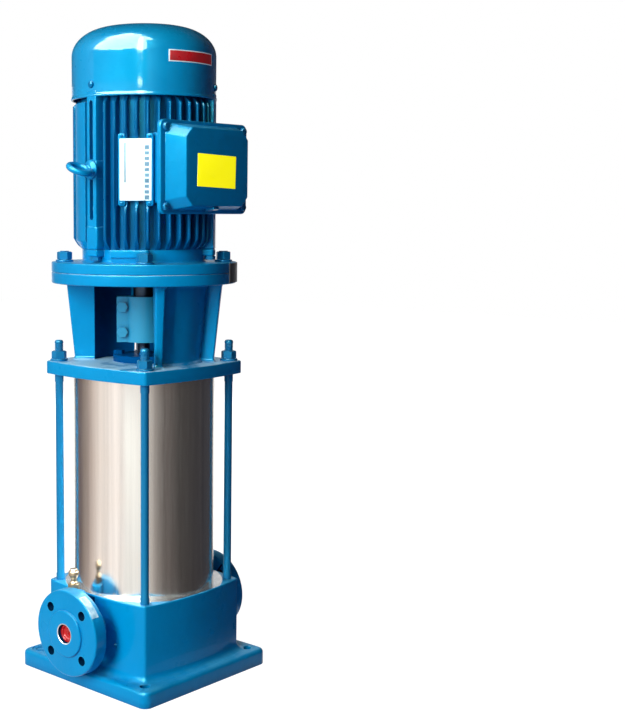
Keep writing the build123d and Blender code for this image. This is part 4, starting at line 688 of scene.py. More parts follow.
def growOnPoints(name, places, shape, material, stands=(), body="pump", seed=3, spin=1.0):
    points = bpy.data.meshes.new(name + "Points")
    points.from_pydata([tuple(place.translation * millimetre) for place in places], [], [])
    aim = points.attributes.new("aim", "FLOAT_VECTOR", "POINT")
    for index, place in enumerate(places):
        aim.data[index].vector = place.to_3x3().col[2]
    seedThing = putInScene(name + "Shape", finishMesh(name + "Shape", shape))
    thing = putInScene(name + "Grower", points)
    kinds = {"Geometry": "Geometry", "Shape": "Object", "Material": "Material", "Seed": "Int",
             "Spin": "Float"}
    tree, sockets, given, end = newGrower(name + "Rows", kinds)
    aimNode = addNode(tree, "GeometryNodeInputNamedAttribute", {"Name": "aim"}, data_type="FLOAT_VECTOR")
    turn = addNode(tree, "FunctionNodeAlignRotationToVector", {"Vector": aimNode.outputs["Attribute"]},
                   axis="Z")
    chance = addNode(tree, "FunctionNodeRandomValue", {"Seed": given["Seed"]}, data_type="FLOAT")
    angle = addNode(tree, "ShaderNodeMath", {0: chance.outputs[1], 1: given["Spin"]}, operation="MULTIPLY")
    angles = addNode(tree, "ShaderNodeCombineXYZ", {"Z": angle.outputs[0]})
    shapeInfo = addNode(tree, "GeometryNodeObjectInfo", {"Object": given["Shape"]})
    rows = addNode(tree, "GeometryNodeInstanceOnPoints",
                   {"Points": given["Geometry"], "Instance": shapeInfo.outputs["Geometry"],
                    "Rotation": turn.outputs[0]})
    turned = addNode(tree, "GeometryNodeRotateInstances",
                     {"Instances": rows.outputs[0], "Rotation": angles.outputs[0]})
    real = addNode(tree, "GeometryNodeRealizeInstances", {"Geometry": turned.outputs[0]})
    coatAndEnd(tree, real.outputs[0], given, end)
    values = {"Shape": seedThing, "Material": material, "Seed": seed, "Spin": spin}
    data = growMesh(thing, tree, sockets, values)
    for each in (seedThing, thing):
        bpy.data.objects.remove(each)
    return handOver(putInScene(name, data), body, stands)


fastener = {"nut": 18, "nutHeight": 10.8, "nutBore": 12.2, "washer": 24, "washerBore": 12.6,
            "washerThickness": 2.5, "flangeCircle": 215}
rodPlaces = [Matrix.Translation((x * rods["offset"], y * rods["offset"], levels["plateTop"]))
             for x in (-1, 1) for y in (-1, 1)]
flangePlaces = [onCircle(fastener["flangeCircle"] / 2, angle, levels["shieldTop"])
                for angle in (45, 135, 225, 315)]
shape = bmesh.new()
inside, outside, thick = fastener["washerBore"] / 2, fastener["washer"] / 2, fastener["washerThickness"]
revolve(shape, roundPath([(inside, 0, 0), (outside, 0, 0.4), (outside, thick, 0.8), (inside, thick, 0)], 3),
        48)
growOnPoints("washerRows", rodPlaces + flangePlaces, shape, barPaint, ["washers"])
shape = bmesh.new()
makeNut(shape, fastener["nut"], fastener["nutHeight"], fastener["nutBore"])
raised = [place @ Matrix.Translation((0, 0, thick)) for place in rodPlaces + flangePlaces]
growOnPoints("nutRows", raised, shape, barPaint, ["nuts"], seed=5)
print("sleeve and rods made")

# motor bracket
bracket = {"side": 189.4, "bulge": 9.4, "corner": 6, "bore": 56, "ring": 250, "ringBore": 79, "wallLow": 77,
           "wallHigh": 87, "wall": 8, "halfAngle": 34, "ribLow": 96, "ribHigh": 107, "ribLowWidth": 10.6,
           "ribHighWidth": 14}


def makeBracket():
    body = bmesh.new()
    slab(body, lambda inset: bulgedPath(bracket["side"], bracket["bulge"], bracket["corner"], inset),
         levels["plateBottom"], levels["plateTop"], 1.2, 2.2)
    hole = bmesh.new()
    tube(hole, bracket["bore"] / 2, levels["plateBottom"] - 5, levels["plateTop"] + 5, steps=64)
    body = carve(body, hole)
    revolve(body,
            roundPath([(bracket["ringBore"], levels["ringBottom"], 1),
                       (bracket["ring"] / 2, levels["ringBottom"], 1.6),
                       (bracket["ring"] / 2, levels["ringTop"], 1.9),
                       (bracket["ringBore"], levels["ringTop"], 0)], 5), 192)
    low, high = levels["plateTop"], levels["ringBottom"]
    for middle in (90, 270):
        wall = roundPath([(bracket["wallLow"] - bracket["wall"], low - 1, 0),
                          (bracket["wallLow"] + 6, low - 1, 0), (bracket["wallLow"], low + 5, 6),
                          (bracket["wallHigh"], high - 5, 6), (bracket["wallHigh"] + 6, high + 1, 0),
                          (bracket["wallHigh"] - bracket["wall"], high + 1, 0)], 5)
        revolve(body, wall, 40, middle - bracket["halfAngle"], 2 * bracket["halfAngle"])
        for side in (-1, 1):
            angle = math.radians(middle + side * bracket["halfAngle"])
            rings = []
            height = high - low
            for part, flare in ((-0.01, 5), (0.004, 3), (0.012, 1.6), (0.03, 0.4), (0.05, 0), (0.95, 0),
                                (0.97, 0.4), (0.988, 1.6), (0.996, 3), (1.01, 5)):
                inner = bracket["wallLow"] - bracket["wall"] - 0.5
                outer = bracket["ribLow"] + part * (bracket["ribHigh"] - bracket["ribLow"]) + flare
                widen = bracket["ribHighWidth"] - bracket["ribLowWidth"]
                width = bracket["ribLowWidth"] + part * widen + 2 * flare
                ring = []
                for p in roundPath([(inner, -width / 2 + 5, 0.5), (outer, -width / 2, 2.2),
                                    (outer, width / 2, 2.2), (inner, width / 2 - 5, 0.5)], 4):
                    ring.append((p.x * math.cos(angle) - p.y * math.sin(angle),
                                 p.x * math.sin(angle) + p.y * math.cos(angle), low + part * height))
                rings.append(ring)
            loft(body, rings)
    settle(body)
    # inward faces between the plate and the ring take the dark enamel: painted shade inside the bracket
    for face in body.faces:
        middle = face.calc_center_median()
        outward = middle.x * face.normal.x + middle.y * face.normal.y
        inside = outward < -0.25 * math.hypot(middle.x, middle.y)
        face.material_index = 1 if inside and low + 1 < middle.z < levels["ringTop"] else 0
    finishPiece("motorBracket", body, [platePaint, insideShadePaint], ["motor_bracket"])


makeBracket()
print("bracket made")

# drive endshield
shield = {"bore": 60, "neck": 83.3, "lugRoot": 78, "lugWidth": 18, "lugReach": 97, "lugHeight": 9,
          "blockReach": 94.5, "blockStart": 197, "blockEnd": 226, "blockCorner": 5, "boltRadius": 91,
          "bolt": 13, "boltHeight": 5.5}
mesh = bmesh.new()
revolve(mesh,
        roundPath([(shield["bore"], levels["ringTop"] + 0.1, 0),
                   (bracket["ring"] / 2, levels["ringTop"] + 0.1, 1.2),
                   (bracket["ring"] / 2, levels["shieldTop"], 1.4),
                   (shield["neck"], levels["shieldTop"], 4), (shield["neck"], levels["frameBottom"], 0.6),
                   (shield["bore"], levels["frameBottom"], 0)], 5), 192)
for angle in railAngles:
    block(mesh, (shield["lugWidth"], shield["lugHeight"], 1.6), 0, shield["lugReach"] - shield["lugRoot"],
          0, 2, facing(angle, shield["lugRoot"], levels["frameBottom"] - shield["lugHeight"] / 2))
low, high = levels["shieldTop"], levels["frameBottom"]
revolve(mesh,
        roundPath([(bracket["ringBore"], low + 7, 0), (shield["blockReach"], low + 7, 1.5),
                   (shield["blockReach"], high, 1.5), (bracket["ringBore"], high, 0)], 4), 24,
        shield["blockStart"], shield["blockEnd"] - shield["blockStart"])
revolve(mesh,
        roundPath([(bracket["ringBore"], low - 1, 0), (shield["blockReach"] - 3, low - 1, 0),
                   (shield["blockReach"] - 3, low + 9, 0), (bracket["ringBore"], low + 9, 0)], 4), 24,
        shield["blockStart"], shield["blockEnd"] - shield["blockStart"])
tube(mesh, shield["blockCorner"], low - 1, high,
     onCircle(shield["blockReach"] - shield["blockCorner"], shield["blockEnd"]), 32, 1.2)
finishPiece("driveEndshield", mesh, paint, ["drive_endshield"])
shape = bmesh.new()
makeNut(shape, shield["bolt"], shield["boltHeight"], 0)
under = levels["frameBottom"] - shield["lugHeight"]
down = [onCircle(shield["boltRadius"], angle, under) @ Matrix.Rotation(math.pi, 4, "X")
        for angle in railAngles]
growOnPoints("endshieldBolts", down, shape, barPaint, ["endshield_bolts"], seed=8)
print("endshield made")

# finned stator frame
stator = {"barrel": 84, "headFall": 11, "padHalf": 16.5, "boxAngle": 270, "root": 81, "padRoot": 76,
          "seatRoot": 60, "eyeLevel": 684, "wall": 4, "tip": 95, "fins": 40, "firstAngle": 227.6,
          "fin": 5.0, "rise": 14, "railWidth": 17, "railReach": 97, "clearAngle": 6.5, "panelStart": 144,
          "panelEnd": 168, "panelReach": 92, "padAngle": 218, "padWidth": 46, "earWidth": 10,
          "plateHeight": 79, "padHeight": 92, "padReach": 94, "padLevel": 683, "seatWidth": 112,
          "seatHeight": 90, "seatReach": 93, "boxLevel": 685.5, "groove": 6.4, "grooveDepth": 9,
          "grooveStart": 38, "grooveEnd": 12}


def makeFins():
    values = {"Count": stator["fins"], "First": math.radians(stator["firstAngle"]),
              "Barrel": stator["barrel"] * millimetre, "Tip": stator["tip"] * millimetre,
              "Thickness": stator["fin"] * millimetre, "Bottom": levels["frameBottom"] * millimetre,
              "Top": (levels["frameTop"] - 1) * millimetre, "Rise": stator["rise"] * millimetre,
              "HeadFall": stator["headFall"] * millimetre, "Rail": math.radians(railAngles[0]),
              "Clear": math.radians(stator["clearAngle"]),
              "PanelStart": math.radians(stator["panelStart"] - 2),
              "PanelEnd": math.radians(stator["panelEnd"] + 2),
              "PadAngle": math.radians(stator["padAngle"]), "PadHalf": math.radians(stator["padHalf"]),
              "PadLevel": stator["padLevel"] * millimetre, "PadRise": stator["padHeight"] / 2 * millimetre,
              "PadReach": (stator["padReach"] - 2) * millimetre}
    kinds = {label: "Int" if label == "Count" else "Float" for label in values}
    tree, sockets, given, end = newGrower("finRows", {**kinds, "Material": "Material"})

    def op(operation, a, b=0.0):
        return math2(tree, operation, a, b)

    def named(operation):
        return lambda a, b: op(operation, a, b)
    add, less, mul, over = named("ADD"), named("SUBTRACT"), named("MULTIPLY"), named("DIVIDE")
    larger, smaller, wrap = named("MAXIMUM"), named("MINIMUM"), named("FLOORED_MODULO")
    reach = add(less(given["Tip"], given["Barrel"]), 0.003)
    height = less(given["Top"], given["Bottom"])
    size = addNode(tree, "ShaderNodeCombineXYZ", {"X": reach, "Y": given["Thickness"], "Z": height})
    cube = addNode(tree, "GeometryNodeMeshCube",
                   {"Size": size.outputs[0], "Vertices X": 12, "Vertices Y": 3, "Vertices Z": 44})
    where = addNode(tree, "GeometryNodeInputPosition")
    parts = addNode(tree, "ShaderNodeSeparateXYZ", {0: where.outputs[0]})
    fromTip = less(over(reach, 2.0), parts.outputs["X"])  # how far a point lies from the fin's tip
    bend = mul(given["Thickness"], 0.5)
    short = larger(less(1.0, over(fromTip, bend)), 0.0)
    roundTip = op("SQRT", larger(less(1.0, mul(short, short)), 0.02))
    draft = add(0.86, mul(fromTip, 30.0))
    thin = mul(parts.outputs["Y"], mul(roundTip, draft))
    shaped = addNode(tree, "ShaderNodeCombineXYZ",
                     {"X": parts.outputs["X"], "Y": thin, "Z": parts.outputs["Z"]})
    fin = addNode(tree, "GeometryNodeSetPosition",
                  {"Geometry": cube.outputs["Mesh"], "Position": shaped.outputs[0]})
    middle = mul(add(given["Top"], given["Bottom"]), 0.5)
    shift = addNode(tree, "ShaderNodeCombineXYZ", {"X": less(given["Tip"], over(reach, 2.0)), "Z": middle})
    placed = addNode(tree, "GeometryNodeTransform",
                     {"Geometry": fin.outputs[0], "Translation": shift.outputs[0]})
    points = addNode(tree, "GeometryNodePoints", {"Count": given["Count"]})
    index = addNode(tree, "GeometryNodeInputIndex").outputs[0]
    turn = add(given["First"], mul(index, over(2 * math.pi, given["Count"])))
    wrapped = wrap(turn, 2 * math.pi)
    third = 2 * math.pi / 3
    fromRail = op("ABSOLUTE", less(wrap(add(less(turn, given["Rail"]), third / 2), third), third / 2))
    clear = op("GREATER_THAN", fromRail, given["Clear"])
    outside = larger(op("LESS_THAN", wrapped, given["PanelStart"]),
                     op("GREATER_THAN", wrapped, given["PanelEnd"]))
    angles = addNode(tree, "ShaderNodeCombineXYZ", {"Z": turn})
    rows = addNode(tree, "GeometryNodeInstanceOnPoints",
                   {"Points": points.outputs[0], "Instance": placed.outputs[0],
                    "Rotation": angles.outputs[0], "Selection": mul(clear, outside)})
    real = addNode(tree, "GeometryNodeRealizeInstances", {"Geometry": rows.outputs[0]})
    spot = addNode(tree, "ShaderNodeSeparateXYZ",
                   {0: addNode(tree, "GeometryNodeInputPosition").outputs[0]})
    x, y, z = spot.outputs
    radius = op("SQRT", add(mul(x, x), mul(y, y)))
    part = smaller(over(larger(less(z, given["Bottom"]), 0.0), given["Rise"]), 1.0)
    swell = op("POWER", part, 0.7)
    head = smaller(over(larger(less(given["Top"], z), 0.0), given["HeadFall"]), 1.0)
    swell = mul(swell, larger(less(mul(head, 3.0), 2.0), 0.0))
    footMost = add(given["Barrel"], mul(swell, less(given["Tip"], given["Barrel"])))
    heading = wrap(op("ARCTAN2", y, x), 2 * math.pi)
    inPad = mul(op("LESS_THAN", op("ABSOLUTE", less(heading, given["PadAngle"])), given["PadHalf"]),
               op("LESS_THAN", op("ABSOLUTE", less(z, given["PadLevel"])), given["PadRise"]))
    most = less(footMost, mul(inPad, larger(less(footMost, given["PadReach"]), 0.0)))
    scale = smaller(over(most, radius), 1.0)
    pulled = addNode(tree, "ShaderNodeCombineXYZ", {"X": mul(x, scale), "Y": mul(y, scale), "Z": z})
    trimmed = addNode(tree, "GeometryNodeSetPosition",
                      {"Geometry": real.outputs[0], "Position": pulled.outputs[0]})
    coatAndEnd(tree, trimmed.outputs[0], given, end)
    thing = putInScene("finGrower", bpy.data.meshes.new("finGrower"))
    data = growMesh(thing, tree, sockets, {**values, "Material": paint})
    bpy.data.objects.remove(thing)
    return data


def makeFrame():
    body = bmesh.new()
    body.from_mesh(makeFins())
    bmesh.ops.scale(body, vec=(1 / millimetre,) * 3, verts=body.verts)
    low, high = levels["frameBottom"], levels["frameTop"]
    inside, outside, root = stator["barrel"] - stator["wall"], stator["barrel"], stator["root"]
    drum = bmesh.new()
    revolve(drum, [(inside, low), (outside, low), (outside, high), (inside, high)], 160)
    # the drum between the fins takes the darker enamel: painted shade between the fins
    for face in drum.faces:
        face.material_index = 1
    pour(body, drum)
    for angle in railAngles:
        rail = bmesh.new()
        block(rail, (stator["railWidth"], high - low, 1.4), 0, stator["railReach"] - root, 0, 1.4,
             facing(angle, root, (low + high) / 2))
        groove = bmesh.new()
        length = high - low - stator["grooveStart"] - stator["grooveEnd"]
        centre = low + stator["grooveStart"] + length / 2
        block(groove, (stator["groove"], length, stator["groove"] / 2 - 0.01),
              stator["railReach"] - root - stator["grooveDepth"], 30, 0, 0, facing(angle, root, centre))
        pour(body, carve(rail, groove))
    block(body, (stator["railWidth"] + 1.6, 26, 4), 0, stator["railReach"] - root, 0, 2,
          facing(180, root, stator["eyeLevel"]))
    block(body, (stator["railWidth"] + 3, 31, 5), 0, stator["railReach"] - 80.6, 0, 2.4,
          facing(180, root, low + 15.7))
    revolve(body,
            roundPath([(root, low, 0), (outside + 0.5, low, 1), (stator["panelReach"], low + 11, 2),
                       (stator["panelReach"], high - 13, 0), (outside + 1, high - 10, 0),
                       (root, high - 0.5, 0)], 4), 24, stator["panelStart"],
            stator["panelEnd"] - stator["panelStart"])
    pad = facing(stator["padAngle"], stator["padRoot"], stator["padLevel"])
    block(body, (stator["padWidth"] - 1, stator["plateHeight"], 2), 0,
          stator["padReach"] - stator["padRoot"] - 0.3, 0, 1, pad)
    for side in (-0.5, 0.5):
        ear = Matrix.Translation((side * (stator["padWidth"] - stator["earWidth"]), 0, 0))
        block(body, (stator["earWidth"], stator["padHeight"], 3.5), 0,
              stator["padReach"] - stator["padRoot"], 0, 1.8, pad @ ear)
    block(body, (stator["seatWidth"], stator["seatHeight"], 4), 0, stator["seatReach"] - stator["seatRoot"],
          0, 0.5, facing(stator["boxAngle"], stator["seatRoot"], stator["boxLevel"]))
    finishPiece("statorFrame", body, [paint, gapShadePaint], ["stator_frame"], smooth=38)


makeFrame()
print("frame made")

# fan cowl
cowl = {"radius": 96.3, "wall": 1.5, "shoulder": 54, "shoulderHeight": 38.2, "side": 57.1, "slots": 20,
        "slotLength": 24, "slotWidth": 3, "slotRadius": 27, "screwRise": 15.6}


def makeCowl():
    low = levels["cowlBottom"]
    knee = low + cowl["side"]
    top = knee + cowl["shoulderHeight"]
    radius, wall, turns = cowl["radius"], cowl["wall"], quarterTurns(24)
    outer = [(radius - cowl["shoulder"] * (1 - math.cos(a)), knee + cowl["shoulderHeight"] * math.sin(a))
             for a in turns]
    inner = [(radius - wall - (cowl["shoulder"] - wall) * (1 - math.cos(a)),
              knee + (cowl["shoulderHeight"] - wall) * math.sin(a)) for a in turns]
    lip = [(radius - wall, low + 1), (radius - wall, low + 0.3), (radius - wall * 0.6, low - 0.1),
           (radius + 0.1, low - 0.1), (radius + 0.8, low + 0.3), (radius + 1.2, low + 1.0),
           (radius + 1.25, low + 1.8), (radius + 0.9, low + 2.8), (radius + 0.3, low + 3.6),
           (radius + 0.05, low + 4.4), (radius, low + 5.0), (radius, low + 5.8), (radius, low + 7.5),
           (radius, knee - 12), (radius, knee - 2)]
    path = lip + outer + [(20, top), (1, top), (0, top), (0, top - wall), (1, top - wall),
                          (20, top - wall)] + inner[::-1]
    body = bmesh.new()
    revolve(body, path, 192)
    tools = bmesh.new()
    for n in range(cowl["slots"]):
        turn = Matrix.Rotation(2 * math.pi * n / cowl["slots"], 4, "Z")
        block(tools, (cowl["slotLength"], cowl["slotWidth"], cowl["slotWidth"] / 2 - 0.01), top - 6,
              top + 4, 0, 0, turn @ Matrix.Translation((cowl["slotRadius"], 0, 0)))
    finishPiece("fanCowl", carve(body, tools), sheetPaint, ["fan_cowl"], smooth=40)


makeCowl()
shape = bmesh.new()
revolve(shape, [(0, -3), (2.4, -3), (2.4, 0), (4.6, 0), (4.6, 1.2), (4.0, 2.4), (2.2, 3.3), (0, 3.5)], 32)
places = [facing(angle, cowl["radius"] - 0.1, levels["cowlBottom"] + cowl["screwRise"])
          for angle in railAngles]
growOnPoints("cowlScrews", places, shape, darkPaint, ["cowl_screws"])
print("cowl made")

# terminal box, gasket and lid
box = {"mouthReach": 103, "lidReach": 104, "rimThickness": 6, "depth": 22, "mouthWidth": 160,
       "mouthHeight": 111, "rimWidth": 166, "rimHeight": 117, "rimCorner": 9, "rootWidth": 146,
       "rootHeight": 106, "faceWidth": 120, "faceHeight": 98, "cut": 12, "screwX": 74, "screwZ": 49.5}


def makeBox():
    body = bmesh.new()
    rings = []
    for part in range(7):
        share = part / 6
        width = stator["seatWidth"] + share * (box["mouthWidth"] - stator["seatWidth"])
        height = stator["seatHeight"] + share * (box["mouthHeight"] - stator["seatHeight"])
        reach = stator["seatReach"] - 1 + share * (box["mouthReach"] - stator["seatReach"] + 1)
        rings.append([(p.x, p.y, reach) for p in rectPath(width, height, 5)])
    place = facing(stator["boxAngle"], 0, stator["boxLevel"])
    loft(body, rings, place)
    finishPiece("terminalBox", body, paint, ["terminal_box"])
    lid = bmesh.new()
    block(lid, (box["rimWidth"], box["rimHeight"], box["rimCorner"]), box["lidReach"],
          box["lidReach"] + box["rimThickness"], 0.6, 1.6, place)
    root = box["lidReach"] + box["rimThickness"]
    face = root + box["depth"]
    rings = [[(p.x, p.y, root - 1)
              for p in cutPath(box["rootWidth"] + 5, box["rootHeight"] + 3, box["cut"], 3)],
             [(p.x, p.y, root + 0.6)
              for p in cutPath(box["rootWidth"] + 1.5, box["rootHeight"] + 1, box["cut"], 3)],
             [(p.x, p.y, root + 2.2) for p in cutPath(box["rootWidth"], box["rootHeight"], box["cut"], 3)]]
    soft = 2.2
    for angle in quarterTurns(5):
        inset = soft * (1 - math.cos(angle))
        rings.append([(p.x, p.y, face - soft + soft * math.sin(angle))
                      for p in cutPath(box["faceWidth"], box["faceHeight"], box["cut"], 3, inset)])
    loft(lid, rings, place)
    finishPiece("terminalLid", lid, paint, ["terminal_lid"])
    screw = bmesh.new()
    revolve(screw, [(0, -3), (3, -3), (3, 0), (5, 0), (5, 2.6), (4.4, 3.6), (3, 4), (0, 4)], 32)
    slot = bmesh.new()
    block(slot, (12, 1.1, 0.1), 2.6, 6, 0, 0)
    screw = carve(screw, slot)
    middle = facing(stator["boxAngle"], root, stator["boxLevel"])
    places = [middle @ Matrix.Translation((x * box["screwX"], z * box["screwZ"], 0))
              for x in (-1, 1) for z in (-1, 1)]
    growOnPoints("lidScrews", places, screw, barPaint, ["lid_screws"], spin=3.0)


makeBox()
print("box made")

# lifting eye
eye = {"collar": 24, "collarHeight": 5, "outer": 36, "section": 8, "sink": 2.5, "tilt": 25}


def makeEye():
    body = bmesh.new()
    centre = stator["railReach"] + eye["collarHeight"] + eye["outer"] / 2 - eye["sink"]
    place = Matrix.Translation((-centre, 0, stator["eyeLevel"]))
    place = place @ Matrix.Rotation(math.radians(eye["tilt"]), 4, "X")
    ring, section, collar = (eye["outer"] - eye["section"]) / 2, eye["section"] / 2, eye["collar"] / 2
    turns = [2 * math.pi * n / 28 for n in range(28)]
    revolve(body, [(ring + section * math.cos(a), section * math.sin(a)) for a in turns], 72, place=place)
    revolve(body,
            roundPath([(0, -8, 0), (0, eye["collarHeight"] + 3, 0), (5.5, eye["collarHeight"] + 4, 2),
                       (7, eye["collarHeight"] + 0.5, 3), (collar, 2.6, 1.2), (collar, 0, 0.5), (4, 0, 0),
                       (4, -8, 0)], 4), 56, place=facing(180, stator["railReach"], stator["eyeLevel"]))
    finishPiece("liftingEye", body, paint, ["lifting_eye"], smooth=45)


makeEye()

# vent valve
vent = {"hex": 14, "hexHeight": 10.5, "neck": 9, "neckHeight": 7, "gap": 0.5, "knobHeight": 12.5}


def makeVent():
    place = Matrix.Translation((boss["x"], boss["y"], boss["top"]))
    body = bmesh.new()
    makeNut(body, vent["hex"], vent["hexHeight"], 0, place)
    low, top, neck = vent["hexHeight"], vent["hexHeight"] + vent["neckHeight"], vent["neck"] / 2
    revolve(body,
            roundPath([(2.2, low - 1, 0), (5.4, low - 1, 0), (5.4, low + 1.4, 0.6), (3.7, low + 3, 0.5),
                       (3.7, low + 5, 0.4), (neck, top, 0.4), (2.2, top, 0)], 3), 40, place=place)
    finishPiece("ventBody", body, brass, ["vent_body"])
    bottom, high = top + vent["gap"], top + vent["gap"] + vent["knobHeight"]
    knob = bmesh.new()
    path = roundPath([(2.3, bottom, 0), (4.8, bottom, 0.5), (7.0, bottom + 4.2, 0.8),
                      (7.0, bottom + 8.6, 0.8), (5.6, bottom + 9.6, 0.6), (5.6, bottom + 10.4, 0.5),
                      (4.6, high, 1.4), (0, high, 0), (0, bottom + 6.4, 0), (2.3, bottom + 6.4, 0)], 3)
    revolve(knob, path, 48, place=place)
    finishPiece("ventKnob", knob, brass, ["vent_knob"], body="vent_turn_knob")


makeVent()
print("fittings made")


# plates and tags: bare, but for the name plate's rule and blocks, which spell nothing
# angles of bands count from the camera's side, the rim patch's from the top of the port flange
labels = {"plateWidth": 41, "plateHeight": 78, "rivetX": 18, "rivetZ": 42.5, "rule": (1.7, 50, 0.3),
          "ruleAside": -13.5, "blocks": 10, "blockWidth": 5.6, "blockGap": 7, "blockAside": 14.5,
          "blockTop": 28, "ink": 0.08, "lidReach": 132, "lidAside": -2.3, "lidLevel": 681, "lidWidth": 73,
          "lidHeight": 41, "lidTilt": -1.7, "cowlStart": 19.3, "cowlEnd": 64, "cowlLow": 819.6,
          "cowlHigh": 832.2, "cowlBorder": (1.0, 1.2), "rimLow": 133.5, "rimHigh": 145, "rimSweep": 34,
          "rimTurn": -58, "tagStart": 63, "tagEnd": 92, "tagLow": 536.8, "tagHigh": 562.6}


def makePlate(name, material, place, width, height, thickness, corner=1.5, stands=(), tilt=0.0,
              edge=0.25):
    body = bmesh.new()
    block(body, (width, height, corner), 0, thickness, 0, edge,
         place @ Matrix.Rotation(math.radians(tilt), 4, "Z"))
    return finishPiece(name, body, material, stands)


plateSpot = facing(stator["padAngle"], stator["padReach"], stator["padLevel"])
makePlate("namePlate", whitePlate, plateSpot, labels["plateWidth"], labels["plateHeight"], 1.0, 1.0,
          ["name_plate"])
shape = bmesh.new()
revolve(shape, [(0, -1), (1.6, -1), (1.6, 0), (2.2, 0), (2.0, 0.8), (1.1, 1.3), (0, 1.4)], 20)
rivets = [plateSpot @ Matrix.Translation((x * labels["rivetX"], z * labels["rivetZ"], 0))
          for x in (-1, 1) for z in (-1, 1)]
growOnPoints("plateRivets", rivets, shape, darkPaint)
ruled = bmesh.new()
page = facing(stator["padAngle"], stator["padReach"] + 1, stator["padLevel"])
block(ruled, labels["rule"], 0, labels["ink"], 0, 0, page @ Matrix.Translation((labels["ruleAside"], 9, 0)))
for number in range(labels["blocks"]):
    spot = Matrix.Translation((labels["blockAside"], labels["blockTop"] - labels["blockGap"] * number, 0))
    block(ruled, (labels["blockWidth"], 4.2 if number % 3 else 5.4, 0.4), 0, labels["ink"], 0, 0,
          page @ spot)
finishPiece("plateMarks", ruled, markPlate)
lidSpot = facing(stator["boxAngle"], labels["lidReach"], labels["lidLevel"])
lidSpot = lidSpot @ Matrix.Translation((labels["lidAside"], 0, 0))
makePlate("lidLabel", yellowPlate, lidSpot, labels["lidWidth"], labels["lidHeight"], 0.4, 0.6,
          tilt=labels["lidTilt"])


def bandPath(reach, thickness, low, high):
    return roundPath([(reach - 0.3, low, 0), (reach + thickness, low, 0.3), (reach + thickness, high, 0.3),
                      (reach - 0.3, high, 0)], 3)


def makeBand(name, material, start, end, low, high, reach, thickness):
    body = bmesh.new()
    revolve(body, bandPath(reach, thickness, low, high), 36, cameraSide + start, end - start)
    return finishPiece(name, body, material)


aside, above = labels["cowlBorder"]
makeBand("cowlLabelBorder", whitePlate, labels["cowlStart"] - aside, labels["cowlEnd"] + aside,
         labels["cowlLow"] - above, labels["cowlHigh"] + above, cowl["radius"], 0.35)
makeBand("cowlLabel", redPlate, labels["cowlStart"], labels["cowlEnd"], labels["cowlLow"],
         labels["cowlHigh"], cowl["radius"], 0.6)
# pale mottled patch on the inlet flange's rim
rim = bmesh.new()
revolve(rim, bandPath(port["flange"] / 2, 0.4, labels["rimLow"], labels["rimHigh"]), 24, 0,
        labels["rimSweep"], portPlace(-1) @ Matrix.Rotation(math.radians(labels["rimTurn"]), 4, "Z"))
finishPiece("rimLabel", rim, rimPatchTone)
makeBand("flangeTag", brownPlate, labels["tagStart"], labels["tagEnd"], labels["tagLow"], labels["tagHigh"],
         bracket["ring"] / 2, 1.2)
print("plates made")

# CAD pieces that stay, with a finish each
# the gland, its screws and the coupling guard take the dark enamel: painted shade inside the bracket
kept = {insideShadePaint: ["seal_gland", "gland_screws", "coupling_guard"],
        barPaint: ["flange_studs", "drain_plug"], paint: ["rear_endshield"],
        # the entry plug under the lid takes the dark bolt enamel: painted shade, so it doesn't show bright
        rubber: ["box_gasket", "sleeve_seals"], darkPaint: ["entry_plug"], boardPlastic: ["terminal_board"],
        ceramic: ["seal_seat"], bronze: ["lower_bush"], copper: ["stator_windings"],
        coreSteel: ["stator_core", "rotor_core"],
        # the shafts take the dark steel: painted shade
        shaftSteel: ["bearing_outer_rings", "bearing_inner_rings"], shadedShaftSteel: ["motor_shaft", "pump_shaft"],
        fanPlastic: ["fan"], carbon: ["seal_rotor"], brass: ["vent_needle"],
        couplingPaint: ["coupling_front", "coupling_rear", "coupling_bolts", "coupling_nuts"],
        stageSteel: ["suction_ring", "stage_cover"]
        + [f"{kind}_{number}" for kind in ("stage_chamber", "impeller") for number in range(1, 7)]}
for material, names in kept.items():
    for name in names:
        nodes[name].data.materials.clear()
        nodes[name].data.materials.append(material)
print("kept nodes finished")

# studio: floor, world, lamps, cards and camera
studio = {"floor": 6.0, "floorGlow": 0.95, "floorClear": 1.1, "worldFill": 0.03, "floorStart": 0.35,
          "floorBounce": (0.10, 0.30, 0.50, 1), "floorShade": (0.22, 0.22, 0.22, 1), "cardReach": 1.3,
          "cardTop": 2.4, "warmTop": 0.82, "glintReach": 2.2, "glintCentre": 0.82, "lampReach": 2.6,
          "lampCentre": 0.5, "glintTone": (0.8, 0.97, 1.0, 1), "hoodTone": (0.03, 0.045, 0.06, 1)}


def bareTree(owner):
    owner.use_nodes = True
    owner.node_tree.nodes.clear()
    return owner.node_tree


# the pale shader where the camera, gloss and glass look, the plain one elsewhere
def rayMix(tree, plain, pale):
    light = addNode(tree, "ShaderNodeLightPath").outputs
    seen = math2(tree, "MAXIMUM", light["Is Camera Ray"], light["Is Glossy Ray"])
    seen = math2(tree, "MAXIMUM", seen, light["Is Transmission Ray"])
    return addNode(tree, "ShaderNodeMixShader", {0: seen, 1: plain, 2: pale}).outputs[0]


def endTree(tree, kind, surface):
    tree.links.new(surface, addNode(tree, kind).inputs["Surface"])


